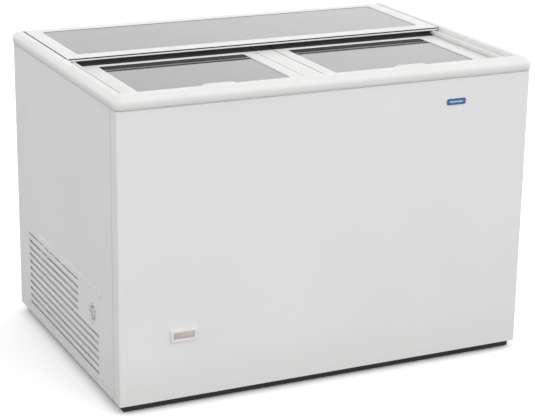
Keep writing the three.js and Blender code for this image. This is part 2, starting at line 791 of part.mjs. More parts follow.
const rearLidW = (upperWallX - REAR_LID_SIDE_CLEAR) * 2;
const rearLidRearY = rearUpperWallY - LID_CLEAR;
const rearLidD = rearLidRearY - SPLIT_Y;
const rearLidY = (SPLIT_Y + rearLidRearY) / 2;
const rearLidZ = rimTopZ - REAR_LID_T;

for (const [name, sign] of [['left', -1], ['right', 1]]) {
  const { outer, inner, front, rear } = FRONT_LID_BARS;
  const bars = sign < 0 ? { outer, inner, front, rear } : { outer: inner, inner: outer, front, rear };
  const paneZ = FRONT_LID_T - GLASS_T - FRONT_PANE_RECESS;
  const { frame, pane } = framedPane(frontLidW, frontLidD, FRONT_LID_T, bars, paneZ);
  const lid = new THREE.Group();
  lid.position.set(sign * frontLidX, frontLidY, frontLidZ);
  freezer.add(lid);
  add(lid, `${name}_lid_frame`, frame, whitePlastic());
  add(lid, `${name}_lid_glass`, pane, glass());
  const windowMiddle = (bars.outer - bars.inner) / 2;
  const handleY = -frontLidD / 2 + front - HANDLE_D / 2 - HANDLE_FROM_WINDOW;
  add(lid, `${name}_lid_handle`, lidHandle(), whitePlastic(), windowMiddle, handleY, FRONT_LID_T + GAP);
  const seal = wiperSeal(frontLidW - SEAL_END_INSET * 2);
  const sealY = frontLidD / 2 - LID_OVERLAP + SEAL_INSET;
  add(lid, `${name}_lid_seal`, seal, blackRubber(), 0, sealY, FRONT_LID_T + GAP);
}

const rearLid = new THREE.Group();
rearLid.position.set(0, rearLidY, rearLidZ);
freezer.add(rearLid);
const rearPaneZ = REAR_LID_T - GLASS_T - REAR_PANE_RECESS;
const rear = framedPane(rearLidW, rearLidD, REAR_LID_T, REAR_LID_BARS, rearPaneZ);
add(rearLid, 'rear_lid_frame', rear.frame, whitePlastic());
add(rearLid, 'rear_lid_glass', rear.pane, glass());

const runnerX = rearLidW / 2 - RUNNER_INSET - RUNNER_W / 2;
const runnerY = rearLidD / 2 - RUNNER_END_INSET;
const runnerFootZ = upperTrackZ + GAP - rearLidZ;
for (const [name, sign] of [['left', -1], ['right', 1]]) {
  const runner = block(-RUNNER_W / 2, RUNNER_W / 2, -runnerY, runnerY, runnerFootZ, -GAP);
  add(rearLid, `rear_lid_${name}_runner`, runner, greyPlastic(), sign * runnerX);
}

// ---------------------------------------------------------------- side grille and thermostat

const grille = new THREE.Group();
grille.position.set(grilleFaceX, 0, 0);
freezer.add(grille);

const screwPlaces = [
  [grilleFrontY + SCREW_INSET, grilleZ + SCREW_INSET],
  [grilleRearY - SCREW_INSET, grilleZ + SCREW_INSET],
  [grilleRearY - SCREW_INSET, grilleTopZ - SCREW_INSET],
  [grilleFrontY + SCREW_INSET, grilleTopZ - SCREW_INSET],
];

/** The slots of one row as [front end, rear end] pairs. */
function slotSpans(row) {
  const rearEnd = grilleRearY - SLOT_REAR_INSET;
  const frontEnd = grilleFrontY + (row < SHORT_ROWS ? DIAL_ZONE : SLOT_FRONT_INSET);
  const parts = row === 0 ? TOP_ROW_PARTS : 1;
  const length = (rearEnd - frontEnd - TOP_ROW_BRIDGE * (parts - 1)) / parts;
  return Array.from({ length: parts }, (_, i) => {
    const start = frontEnd + i * (length + TOP_ROW_BRIDGE);
    return [start, start + length];
  });
}

/** One blade that rises inwards from a slot's lower lip. */
function louvre(from, to, slotFootZ) {
  const blade = block(0, LOUVRE_REACH, from - LOUVRE_SIDE_LAP, to + LOUVRE_SIDE_LAP, -LOUVRE_T, 0);
  blade.rotateY(-LOUVRE_LEAN);
  return moved(blade, LOUVRE_SET_BACK, 0, slotFootZ + LOUVRE_LIFT);
}

/** The louvred insert, with a cup for the thermostat knob. The top row is open, with no blades. */
function sideGrille() {
  const [y0, y1] = [grilleFrontY + GRILLE_CLEAR, grilleRearY - GRILLE_CLEAR];
  const plate = block(0, GRILLE_T, y0, y1, grilleZ + GRILLE_CLEAR, grilleTopZ - GRILLE_CLEAR);
  const slots = [];
  const louvres = [];
  for (let row = 0; row < SLOT_ROWS; row += 1) {
    const z = grilleTopZ - SLOT_TOP_INSET - row * slotPitch;
    const half = (row === 0 ? SLOT_H / 2 : SLOT_H) / 2;
    for (const [from, to] of slotSpans(row)) {
      slots.push(block(-OVERCUT, GRILLE_T + OVERCUT, from, to, z - half, z + half));
      if (row > 0) louvres.push(louvre(from, to, z - half));
    }
  }
  const onDial = (r, from, to, segments) => moved(bar('x', r, from, to, segments), 0, dialY, dialZ);
  const cup = onDial(DIAL_CUP_R + DIAL_CUP_WALL, LAP / 2, DIAL_CUP_DEPTH + DIAL_CUP_FLOOR_T, 28);
  const dish = onDial(DIAL_CUP_R, -OVERCUT, DIAL_CUP_DEPTH, 28);
  const shaftHole = onDial(KNOB_SHAFT_R + KNOB_SHAFT_CLEAR, 0, DIAL_CUP_DEPTH + DIAL_CUP_FLOOR_T + LAP, 16);
  const screwHoles = screwPlaces.map(([y, z]) =>
    moved(bar('x', SCREW_R + GAP, -OVERCUT, SCREW_L, 10), 0, y, z));
  return cut(join(cut(plate, ...slots), cup, ...louvres), dish, shaftHole, ...screwHoles);
}

/** The knob: a round cap with a raised pointer, and the shaft that turns the thermostat. */
function thermostatKnob() {
  const step = 4;
  const cap = bar('x', KNOB_R, -KNOB_PROUD, DIAL_CUP_DEPTH - KNOB_CLEAR, 28);
  const crown = bar('x', KNOB_R - step, -knobRise, 0, 28);
  const half = KNOB_POINTER_W / 2;
  const pointer = block(-knobRise - KNOB_POINTER_H, 0, -half, half, -KNOB_R + step, KNOB_R - LAP);
  const shaft = bar('x', KNOB_SHAFT_R, 0, DIAL_CUP_DEPTH + KNOB_SHAFT_BEYOND_CUP, 16);
  return join(cap, crown, pointer, shaft);
}

/** The thermostat behind the cup, open where the shaft enters. */
function thermostatBody() {
  const start = DIAL_CUP_DEPTH + DIAL_CUP_FLOOR_T + GAP;
  const [z, y, r] = [THERMOSTAT_H / 2, THERMOSTAT_D / 2, THERMOSTAT_CORNER_R];
  const can = roundedBlock(-z, z, -y, y, start, start + THERMOSTAT_L, r, 3);
  can.rotateY(Math.PI / 2);
  const socketEnd = DIAL_CUP_DEPTH + KNOB_SHAFT_BEYOND_CUP + LAP;
  return cut(can, bar('x', KNOB_SHAFT_R + GAP, 0, socketEnd, 16));
}

/** A pan-head screw that stands on the grille's face. */
function grilleScrew() {
  const head = bar('x', SCREW_HEAD_R, -SCREW_HEAD_T - GAP, -GAP, 14);
  return join(head, bar('x', SCREW_R, -LAP, SCREW_L, 10));
}

add(grille, 'side_grille', sideGrille(), whitePlastic());
add(grille, 'thermostat_knob', thermostatKnob(), greyPlastic(), 0, dialY, dialZ);
add(grille, 'thermostat_body', thermostatBody(), blackPlastic(), 0, dialY, dialZ);
screwPlaces.forEach(([y, z], i) => {
  add(grille, `grille_screw_${i + 1}`, grilleScrew(), whitePaint(), 0, y, z);
});

// ---------------------------------------------------------------- front fittings

const front = new THREE.Group();
front.position.set(0, -bodyY, 0);
freezer.add(front);
const indicatorX = -bodyX + INDICATOR_FROM_LEFT;
const indicatorZ = panelZ + INDICATOR_FROM_BOTTOM;

/** The bezel: a flange on the front sheet and a sleeve through it, open from front to back. */
function indicatorBezel() {
  const w = INDICATOR_W / 2;
  const h = INDICATOR_H / 2;
  const [sw, sh] = [w - SLEEVE_INSET, h - SLEEVE_INSET];
  const flange = roundedBlock(-w, w, -h, h, GAP, INDICATOR_PROUD, INDICATOR_CORNER_R, 3);
  const sleeve = roundedBlock(-sw, sw, -sh, sh, -SLEEVE_DEPTH, LAP, SLEEVE_CORNER_R, 2);
  const [ow, oh] = [WINDOW_W / 2, WINDOW_H / 2];
  const opening = block(-ow, ow, -oh, oh, -SLEEVE_DEPTH - OVERCUT, INDICATOR_PROUD + OVERCUT);
  return cut(join(flange, sleeve), opening).rotateX(Math.PI / 2);
}

const windowX = WINDOW_W / 2 - GAP;
const windowZ = WINDOW_H / 2 - GAP;
const lensY = -INDICATOR_PROUD + LENS_SET_BACK;
const lens = block(-windowX, windowX, lensY, lensY + LENS_T, -windowZ, windowZ);
const board = block(-windowX, windowX, 0, BOARD_D, -windowZ, windowZ);
add(front, 'indicator_bezel', indicatorBezel(), whitePlastic(), indicatorX, 0, indicatorZ);
add(front, 'indicator_window', lens, smokedLens(), indicatorX, 0, indicatorZ);
add(front, 'indicator_board', board, blackPlastic(), indicatorX, 0, indicatorZ);

const badge = roundedBlock(
  -BADGE_W / 2, BADGE_W / 2, -BADGE_H / 2, BADGE_H / 2, GAP, GAP + BADGE_T, BADGE_CORNER_R, 4,
);
badge.rotateX(Math.PI / 2);
add(front, 'badge_plate', badge, bluePlate(), bodyX - BADGE_FROM_RIGHT, 0, rimZ - BADGE_FROM_TOP);

// ---------------------------------------------------------------- machinery

const machinery = new THREE.Group();
machinery.position.set(compressorX, compressorY, trayTopZ);
freezer.add(machinery);

/** The tray that carries the compressor, with a lip along each side. */
function compressorTray() {
  const x = MOUNT_SPACING_X / 2 + TRAY_MARGIN_X;
  const y = MOUNT_SPACING_Y / 2 + TRAY_MARGIN_Y;
  const lips = [-x, x - TRAY_T].map((edge) => block(edge, edge + TRAY_T, -y, y, -TRAY_T, TRAY_LIP_H));
  return join(block(-x, x, -y, y, -TRAY_T, 0), ...lips);
}

/** The compressor's oval can, optionally grown all round. */
function compressorCan(grow) {
  const r = COMPRESSOR_R + grow;
  const h = COMPRESSOR_H + grow;
  const can = turned([
    [0, -grow],
    [r * 0.81, -grow],
    [r * 0.96, h * 0.1],
    [r, h * 0.36],
    [r, h * 0.62],
    [r * 0.86, h * 0.83],
    [r * 0.55, h * 0.96],
    [0, h],
  ], 24);
  return can.scale(1, COMPRESSOR_OVAL, 1);
}

/** The can on its mounting plate, with its two pipe stubs. */
function compressor() {
  const x = MOUNT_SPACING_X / 2 + PLATE_MARGIN;
  const y = MOUNT_SPACING_Y / 2 + PLATE_MARGIN;
  const plate = block(-x, x, -y, y, -PLATE_T / 2, PLATE_T / 2);
  const stub = bar('z', STUB_R, COMPRESSOR_H / 2, COMPRESSOR_H + STUB_H, 10);
  const stubs = [-1, 1].map((sign) => moved(stub, sign * STUB_X, 0, 0));
  return join(compressorCan(0), plate, ...stubs);
}

const canZ = MOUNT_H + PLATE_T / 2 + GAP * 2;
add(machinery, 'compressor_tray', compressorTray(), galvanised());
add(machinery, 'compressor', compressor(), blackSteel(), 0, 0, canZ);

const mountX = MOUNT_SPACING_X / 2;
const mountY = MOUNT_SPACING_Y / 2;
const mountPlaces = [[-mountX, -mountY], [-mountX, mountY], [mountX, -mountY], [mountX, mountY]];
mountPlaces.forEach(([x, y], i) => {
  const waist = MOUNT_R - MOUNT_WAIST;
  const mount = turned([[0, 0], [MOUNT_R, 0], [waist, MOUNT_H / 2], [MOUNT_R, MOUNT_H], [0, MOUNT_H]], 16);
  add(machinery, `compressor_mount_${i + 1}`, mount, blackRubber(), x, y, GAP);
});

/** The box over the compressor's terminals, shaped to the can. */
function terminalBox() {
  const half = TERMINAL_W / 2;
  const back = COMPRESSOR_R * COMPRESSOR_OVAL * 0.7;
  const front = COMPRESSOR_R + TERMINAL_D;
  const whole = block(-half, half, back, front, TERMINAL_Z, TERMINAL_Z + TERMINAL_H);
  return cut(whole, compressorCan(GAP * 2));
}

add(machinery, 'compressor_terminal_box', terminalBox(), blackPlastic(), 0, 0, canZ);

const fanY = -COMPRESSOR_R - FAN_FROM_CAN;
const fanZ = CONDENSER_H / 2 + FAN_ABOVE_CENTRE;

/** The plate round the fan, with a short duct. */
function fanShroud() {
  const half = SHROUD_W / 2;
  const r = FAN_R + FAN_CLEAR;
  const plate = block(-half, half, 0, SHROUD_T, -half, half);
  const duct = bar('y', r + DUCT_T, 0, FAN_DEPTH + SHROUD_T, 32);
  return cut(join(plate, duct), bar('y', r, -OVERCUT, FAN_DEPTH + SHROUD_T + OVERCUT, 32));
}

/** A propeller: a hub and pitched blades. */
function fanBlade() {
  const root = HUB_R * 0.75;
  const blades = Array.from({ length: FAN_BLADES }, (_, i) => {
    const blade = block(root, FAN_R, -BLADE_T / 2, BLADE_T / 2, -BLADE_W / 2, BLADE_W / 2);
    blade.rotateX(BLADE_PITCH);
    return blade.rotateY((i / FAN_BLADES) * Math.PI * 2);
  });
  return join(bar('y', HUB_R, -HUB_H / 2, HUB_H / 2, 20), ...blades);
}

const bladeY = SHROUD_T + FAN_DEPTH / 2;
const motorY = FAN_DEPTH + SHROUD_T + MOTOR_FROM_DUCT;

/** The fan motor, with the spindle that reaches the hub. */
function fanMotor() {
  const can = bar('y', MOTOR_R, motorY, motorY + MOTOR_L, 24);
  const spindle = bar('y', SPINDLE_R, bladeY + HUB_H / 2 + GAP, motorY + LAP, 10);
  return join(can, spindle);
}

/** The strap that holds the motor behind the duct. */
function motorStrap() {
  const half = SHROUD_W / 2 - STRAP_INSET;
  const z = STRAP_W / 2;
  const start = motorY + MOTOR_L + GAP;
  const end = start + STRAP_T;
  const bridge = block(-half, half, start, end, -z, z);
  const legs = [-half, half - STRAP_T].map((x) => block(x, x + STRAP_T, SHROUD_T + GAP, end, -z, z));
  return join(bridge, ...legs);
}

add(machinery, 'fan_shroud', fanShroud(), galvanised(), 0, fanY, fanZ);
add(machinery, 'fan_blade', fanBlade(), blackPlastic(), 0, fanY + bladeY, fanZ);
add(machinery, 'fan_motor', fanMotor(), blackSteel(), 0, fanY, fanZ);
add(machinery, 'fan_motor_strap', motorStrap(), galvanised(), 0, fanY, fanZ);

/** The condenser: upright fins between a top and a bottom header. */
function condenser() {
  const x = CONDENSER_W / 2;
  const core = block(-x, x, -CONDENSER_D, 0, 0, CONDENSER_H);
  const slots = [];
  const [slotFoot, slotTop] = [CONDENSER_HEADER_H, CONDENSER_H - CONDENSER_HEADER_H];
  for (let left = -x + CONDENSER_END_W; left + FIN_SLOT < x - CONDENSER_END_W / 2; left += FIN_PITCH) {
    slots.push(block(left, left + FIN_SLOT, -CONDENSER_D - LAP, LAP, slotFoot, slotTop));
  }
  return cut(core, ...slots);
}

const condenserY = fanY - CONDENSER_FROM_FAN;
add(machinery, 'condenser', condenser(), aluminium(), 0, condenserY, GAP);

const stubTopZ = canZ + COMPRESSOR_H + STUB_H + GAP;
const lineZ = stubTopZ + LINE_RISE;
const dischargeX = -CONDENSER_W / 2 - LINE_FROM_CONDENSER;
const dischargeY = condenserY - DISCHARGE_DROP_BEHIND;
const dischargeRun = bent([
  v(-STUB_X, 0, stubTopZ),
  v(-STUB_X, 0, lineZ),
  v(dischargeX, 0, lineZ),
  v(dischargeX, dischargeY, lineZ),
  v(dischargeX, dischargeY, CONDENSER_H - DISCHARGE_END_FROM_TOP),
], LINE_BEND_R);
add(machinery, 'discharge_tube', tube(dischargeRun, DISCHARGE_R), copper());

const bayWallX = bayX - compressorX - SHEET;
const suctionX = bayWallX - SUCTION_FROM_WALL;
const suctionRun = bent([
  v(STUB_X, 0, stubTopZ),
  v(STUB_X, 0, lineZ),
  v(suctionX, 0, lineZ),
  v(suctionX, SUCTION_REACH, lineZ),
  v(bayWallX - LAP, SUCTION_REACH, lineZ),
], LINE_BEND_R);
add(machinery, 'suction_tube', tube(suctionRun, SUCTION_R), copper());

/** The filter drier: a can that narrows to a tail at each end, lying along Y. */
function filterDrier() {
  const neck = DRIER_HALF_L + DRIER_NECK_L;
  const tail = neck + DRIER_TAIL_L;
  const half = [[DRIER_R, DRIER_HALF_L], [DRIER_TAIL_R, neck], [DRIER_TAIL_R, tail], [0, tail]];
  const mirrored = half.map(([r, h]) => [r, -h]).reverse();
  return turned([...mirrored, ...half], 16).rotateX(Math.PI / 2);
}

const drierX = CONDENSER_W / 2 - DRIER_FROM_END;
const drierY = condenserY - CONDENSER_D - DRIER_FROM_CONDENSER;
add(machinery, 'filter_drier', filterDrier(), copper(), drierX, drierY, DRIER_Z);

/** The mains gland in the rear sheet: a flanged bush with a bore for a cord. */
function cableGland() {
  const flangeR = GLAND_R + GLAND_FLANGE_W;
  const flangeTop = GLAND_DEPTH + GLAND_FLANGE_T;
  const mouth = flangeTop + GLAND_CHAMFER;
  const profile = [
    [GLAND_BORE_R, 0],
    [GLAND_R, 0],
    [GLAND_R, GLAND_DEPTH],
    [flangeR, GLAND_DEPTH],
    [flangeR, flangeTop],
    [GLAND_BORE_R + GLAND_CHAMFER, mouth],
    [GLAND_BORE_R, mouth],
    [GLAND_BORE_R, 0],
  ];
  return new THREE.LatheGeometry(profile.map(([r, h]) => new THREE.Vector2(r, h)), 20);
}

add(cabinet, 'cable_gland', cableGland(), blackPlastic(), glandX, bodyY + GAP - GLAND_DEPTH, glandZ);

// ---------------------------------------------------------------- feet

const footX = bodyX - FOOT_INSET;
const footY = bodyY - FOOT_INSET;
for (const [end, sx] of [['left', -1], ['right', 1]]) {
  for (const [face, sy] of [['front', -1], ['rear', 1]]) {
    const top = FOOT_H - GAP;
    const waist = FOOT_R - FOOT_TAPER;
    const profile = [[0, 0], [FOOT_R - FOOT_CHAMFER, 0], [FOOT_R, FOOT_EDGE_H], [waist, top], [0, top]];
    const foot = turned(profile, 20);
    add(cabinet, `${face}_${end}_foot`, foot, blackRubber(), sx * footX, sy * footY);
  }
}

export default freezer;
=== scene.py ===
"""Looks for a glass-top chest freezer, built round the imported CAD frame.

Shapes are worked out in millimetres in the frame's own axes and turned into metres when a mesh is made.
+X is the right end, -Y the front and +Z up, with the floor at z = 0.
"""

import json
import math

import bmesh
import bpy
from mathutils import Matrix, Vector

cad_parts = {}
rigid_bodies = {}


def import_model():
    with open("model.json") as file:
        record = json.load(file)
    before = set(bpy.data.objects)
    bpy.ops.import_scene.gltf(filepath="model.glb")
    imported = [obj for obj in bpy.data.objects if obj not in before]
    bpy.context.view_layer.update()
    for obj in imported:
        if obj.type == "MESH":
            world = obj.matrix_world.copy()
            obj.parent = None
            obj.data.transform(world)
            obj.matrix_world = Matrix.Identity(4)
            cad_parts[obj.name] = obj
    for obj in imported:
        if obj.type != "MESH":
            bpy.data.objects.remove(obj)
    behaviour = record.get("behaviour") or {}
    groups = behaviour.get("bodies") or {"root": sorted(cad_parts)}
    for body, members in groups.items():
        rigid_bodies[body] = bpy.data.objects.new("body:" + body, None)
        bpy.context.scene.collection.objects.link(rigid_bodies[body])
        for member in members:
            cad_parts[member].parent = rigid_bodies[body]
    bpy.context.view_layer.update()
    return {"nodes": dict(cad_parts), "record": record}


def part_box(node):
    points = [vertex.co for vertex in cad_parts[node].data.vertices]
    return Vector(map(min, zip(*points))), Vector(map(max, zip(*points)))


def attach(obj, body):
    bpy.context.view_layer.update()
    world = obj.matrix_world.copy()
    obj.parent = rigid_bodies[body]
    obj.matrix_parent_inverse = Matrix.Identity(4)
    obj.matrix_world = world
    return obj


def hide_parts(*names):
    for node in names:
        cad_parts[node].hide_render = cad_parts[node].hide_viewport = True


for leftover in list(bpy.data.objects):
    bpy.data.objects.remove(leftover)

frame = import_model()
nodes = frame["nodes"]
slot_of_node = {part["node"]: part["material_slot"] for part in frame["record"]["subparts"]}

MM = 0.001
GAP = 0.3

# Rim and its tracks
RIM_NOSE = 18.0
RIM_CHIN = 17.0
RIM_CORNER_R = 24.0
RIM_TUCK = 9.0
RIM_TUCK_R = 4.0
RIM_TUCK_OVERLAP = 0.4
UPPER_TRACK_R = 6.0
UPPER_TRACK_EDGE = 1.2
LOWER_TRACK_R = 5.0
LOWER_TRACK_EDGE = 0.8
WALL_STEP = 0.05
MOUTH_R = 39.0
MOUTH_EDGE = 1.5
TUB_LAP = 15.0
TRACK_RAIL_H = 2.5
TRACK_RAIL_EDGE_R = 1.2
TRACK_RAIL_SUNK = 0.5
TRACK_RAIL_END_CLEAR = 0.2

# Lids
LID_CLEAR = 1.0
REAR_LID_SIDE_CLEAR = 4.0
FRONT_LID_SIDE_CLEAR = 2.0
GLASS_GRIP = 8.0
LID_CORNER_R = 6.0
LID_TOP_EDGE_R = 1.6
LIP_TOP_EDGE_R = 1.2
LIP_SETBACK_SHARE = 0.35
PANE_CORNER_R = 9.0
REAR_LIP = 7.0
LEDGE_TOP = 4.2
BEAD_TOP = 7.4
REAR_STRIP_REACH = 3.3
FRONT_STRIP_REACH = 0.8
STRIP_END_CLEAR = 12.0
WIPER_W = 8.0
WIPER_FLANGE_T = 3.0
# The black strip along each front pane's rear edge paints the shade there, under the rear lid.
PANE_SHADE_BAND_W = 34.0
PANE_SHADE_BAND_CORNER_R = 8.0
GRIP_RAMP = 22.0
GRIP_STATIONS = 40

# Bar between the front lids
DIVIDER_EDGE_R = 1.8
DIVIDER_LEDGE = 9.0
DIVIDER_STEM = 12.0

# Cabinet sheets
SHEET_T = 1.2
SHEET_FOLD_R = 4.5
BEZEL_LAP = 4.0
SEAM_FROM_FACE = 0.35
SEAM_DEPTH = 1.3
SEAM_END_CLEAR = 0.5

# Grille and thermostat
GRILLE_T = 3.5
GRILLE_EDGE = 0.9
GRILLE_CORNER_R = 4.0
SLOT_ROWS = 11
SHORT_ROWS = 5
SLOT_H = 9.5
SLOT_TOP_INSET = 23.5
SLOT_BOTTOM_INSET = 15.5
SLOT_REAR_INSET = 17.5
SLOT_FRONT_INSET = 25.5
DIAL_ZONE = 189.5
TOP_ROW_PARTS = 3
TOP_ROW_BRIDGE = 7.0
LOUVRE_T = 1.5
LOUVRE_REACH = 10.0
LOUVRE_RISE = 7.0
LOUVRE_SET_BACK = 5.0
LOUVRE_STEPS = 6
LOUVRE_SIDE_LAP = 2.0
CUP_R = 22.0
CUP_DEPTH = 10.0
DIAL_TICKS = 9
DIAL_START = 150.0
DIAL_SWEEP = 240.0
TICK_HALF_W = 1.1
TICK_FROM_CUP = 2.6
TICK_SHORTEST = 2.6
TICK_GROWTH = 0.6
KNOB_FLUTES = 16
KNOB_FLUTE_DEPTH = 0.9

# Front fittings
LAMP_SPACING = 17.0
LAMP_HALF_W = 6.5
LAMP_HALF_H = 4.2
BADGE_CORNER_R = 6.0
BADGE_STRIPE_REACH = 21.0
BADGE_STRIPE_H = 3.2
FOOT_RIBS = 3
FOOT_RIB_PITCH = 4.6

# Camera, fitted to the photograph's viewing angle
LENS = 116.6
SENSOR = 36.0
CAMERA_PLACE = (-2.0643, -4.407, 1.9343)
CAMERA_YAW = 25.24
CAMERA_PITCH = 17.804
CAMERA_ROLL = 0.792

# Light, as radiance, the shares of it on each side, and how much of it the floor gives back and shows
HORIZON_LIGHT = 1.22
OVERHEAD_LIGHT = 0.6
FRONT_SHARE = 1.55
REAR_SHARE = 1.08
LEFT_SHARE = 1.08
RIGHT_SHARE = 1.3
FLOOR_BOUNCE = 0.3
FLOOR_SHOWN = 1.15
FLOOR_REACH = 40000.0
FLOOR_T = 20.0

# Where each light gives way to the next, as a part of the direction along Z, Y or X
HEIGHT_RAMP = (0.3, 0.75)
DEPTH_RAMP = (-0.3, 0.6)
LEFT_RAMP = (-0.9, 0.1)
RIGHT_RAMP = (0.1, 0.8)


def box(node):
    """A CAD node's lowest and highest corners at rest, in millimetres."""
    low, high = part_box(node)
    return low / MM, high / MM


# ---------------------------------------------------------------- materials


def linear(code):
    """A colour written as six sRGB hex digits, as linear red, green, blue and alpha."""
    channels = [int(code[i:i + 2], 16) / 255 for i in (0, 2, 4)]
    return [c / 12.92 if c <= 0.04045 else ((c + 0.055) / 1.055) ** 2.4 for c in channels] + [1.0]


def map_range(tree, value, ends, to_ends, interpolation="LINEAR"):
    """The output of a node that maps a value from one pair of ends to another."""
    made = tree.nodes.new("ShaderNodeMapRange")
    made.interpolation_type = interpolation
    for socket, number in zip(("From Min", "From Max", "To Min", "To Max"), (*ends, *to_ends)):
        made.inputs[socket].default_value = number
    tree.links.new(value, made.inputs["Value"])
    return made.outputs["Result"]


def colour_mix(tree, factor):
    """The two colour inputs and the output of a node that mixes colours by a factor."""
    mix = tree.nodes.new("ShaderNodeMix")
    mix.data_type = "RGBA"
    tree.links.new(factor, mix.inputs["Factor"])
    first, second = [socket for socket in mix.inputs if socket.type == "RGBA"]
    return first, second, next(socket for socket in mix.outputs if socket.type == "RGBA")


class Finish:
    """A node material round one Principled shader, with textures in the piece's own coordinates."""

    def __init__(self, name, code, roughness, metallic=0.0, **sockets):
        self.material = bpy.data.materials.new(name)
        self.material.use_nodes = True
        self.tree = self.material.node_tree
        self.shader = self.tree.nodes["Principled BSDF"]
        self.colour = linear(code)
        self.roughness = roughness
        self.set("Base Color", self.colour)
        self.set("Roughness", roughness)
        self.set("Metallic", metallic)
        for socket, value in sockets.items():
            self.set(socket.replace("_", " "), value)
        self.normal = None

    def set(self, socket, value):
        self.shader.inputs[socket].default_value = value

    def node(self, kind, **values):
        made = self.tree.nodes.new(kind)
        for socket, value in values.items():
            made.inputs[socket.replace("_", " ")].default_value = value
        return made

    def link(self, output, target):
        self.tree.links.new(output, target)

    def place(self, stretch=(1, 1, 1)):
        coordinates = self.node("ShaderNodeTexCoord")
        mapping = self.node("ShaderNodeMapping", Scale=stretch)
        self.link(coordinates.outputs["Object"], mapping.inputs["Vector"])
        return mapping.outputs["Vector"]

    def noise(self, scale, detail=3.0, stretch=(1, 1, 1)):
        """Cloudy noise with about scale features to the metre."""
        made = self.node("ShaderNodeTexNoise", Scale=scale, Detail=detail)
        self.link(self.place(stretch), made.inputs["Vector"])
        return made.outputs["Fac"]

    def cells(self, scale):
        """Cells with about scale of them to the metre."""
        made = self.node("ShaderNodeTexVoronoi", Scale=scale)
        self.link(self.place(), made.inputs["Vector"])
        return made.outputs["Distance"]

    def height(self):
        """The height above the floor, in metres."""
        split = self.node("ShaderNodeSeparateXYZ")
        self.link(self.place(), split.inputs["Vector"])
        return split.outputs["Z"]

    def tint(self, value, low, high, code):
        """Turns the colour towards another as value goes from low to high."""
        first, second, result = colour_mix(self.tree, map_range(self.tree, value, (low, high), (0.0, 1.0)))
        current = self.shader.inputs["Base Color"]
        if current.is_linked:
            self.link(current.links[0].from_socket, first)
        else:
            first.default_value = self.colour
        second.default_value = linear(code)
        self.link(result, current)

    def roughen(self, value, low, high):
        """Lets the roughness run from low to high over a texture."""
        spread = map_range(self.tree, value, (0.3, 0.7), (low, high))
        self.link(spread, self.shader.inputs["Roughness"])

    def bump(self, value, depth, strength=1.0):
        """Raises the surface by a texture, over a depth in metres."""
        made = self.node("ShaderNodeBump", Strength=strength, Distance=depth)
        self.link(value, made.inputs["Height"])
        if self.normal is not None:
            self.link(self.normal, made.inputs["Normal"])
        self.normal = made.outputs["Normal"]
        self.link(self.normal, self.shader.inputs["Normal"])


def white_steel():
    """Powder-coated sheet: a faint orange peel, slightly uneven gloss and a little darker towards the floor.
    """
    made = Finish("white_steel", "dedddd", 0.4, Coat_Weight=0.12, Coat_Roughness=0.25)
    made.tint(made.noise(2.2, 2.0), 0.35, 0.75, "dad9d9")
    # A little darker towards the floor.
    made.tint(made.height(), 0.16, 0.02, "d6d5d4")
    made.roughen(made.noise(9.0), 0.36, 0.46)
    made.bump(made.noise(300.0, 1.0), 0.00005, 0.5)
    made.bump(made.noise(3.5, 1.0), 0.0012, 0.25)
    return made.material


def white_plastic():
    """Moulded white plastic with a fine grain."""
    made = Finish("white_plastic", "dad9d8", 0.36, Specular_IOR_Level=0.5)
    made.tint(made.noise(60.0, 4.0), 0.62, 0.8, "d3d2d0")
    made.roughen(made.noise(14.0), 0.36, 0.48)
    made.bump(made.noise(1400.0, 2.0), 0.00003, 0.5)
    return made.material


def liner_white():
    """The tub's smooth enamelled skin, with a breath of frost on it."""
    made = Finish("liner_white", "e3e6e8", 0.35, Coat_Weight=0.2, Coat_Roughness=0.2)
    made.tint(made.noise(7.0, 3.0), 0.45, 0.8, "d5dade")
    made.roughen(made.noise(25.0), 0.28, 0.55)
    made.bump(made.noise(180.0, 2.0), 0.00008, 0.4)
    return made.material


def glass():
    """Clear pane with a slight grey tint and a few faint wipe marks in its gloss."""
    made = Finish("glass", "8c8e8f", 0.03, IOR=1.6, Transmission_Weight=1.0)
    made.roughen(made.noise(5.0, 4.0, (1, 5, 1)), 0.015, 0.06)
    return made.material


def black_rubber():
    """Matt black rubber with a fine grain."""
    made = Finish("black_rubber", "161617", 0.72)
    made.tint(made.noise(30.0), 0.5, 0.8, "252526")
    made.roughen(made.noise(45.0), 0.62, 0.82)
    made.bump(made.noise(900.0, 3.0), 0.00008, 0.6)
    return made.material


def black_plastic():
    """Moulded black plastic."""
    made = Finish("black_plastic", "222325", 0.5)
    made.tint(made.noise(20.0), 0.5, 0.85, "2c2d2f")
    made.roughen(made.noise(35.0), 0.42, 0.6)
    made.bump(made.noise(1100.0, 2.0), 0.00005, 0.6)
    return made.material


def grey_plastic():
    """Moulded pale grey plastic."""
    made = Finish("grey_plastic", "b9bbbc", 0.42)
    made.tint(made.noise(25.0), 0.45, 0.8, "aeb0b2")
    made.roughen(made.noise(40.0), 0.36, 0.52)
    made.bump(made.noise(1200.0, 2.0), 0.00004, 0.5)
    return made.material


def blue_plate():
    """Anodised blue badge, brushed lengthways."""
    made = Finish("blue_plate", "3f699c", 0.32, 0.2, Coat_Weight=0.4, Coat_Roughness=0.1)
    made.tint(made.noise(120.0, 3.0, (1, 1, 9)), 0.4, 0.7, "4c78ab")
    made.roughen(made.noise(150.0, 2.0, (1, 1, 12)), 0.25, 0.42)
    made.bump(made.noise(420.0, 2.0, (1, 1, 12)), 0.00003, 0.4)
    return made.material


def smoked_lens():
    """A pale window that the lamps show through."""
    made = Finish("smoked_lens", "e2d8d5", 0.18, Alpha=0.55, IOR=1.5)
    made.tint(made.noise(60.0), 0.4, 0.75, "cbbfbc")
    made.roughen(made.noise(90.0), 0.12, 0.26)
    return made.material


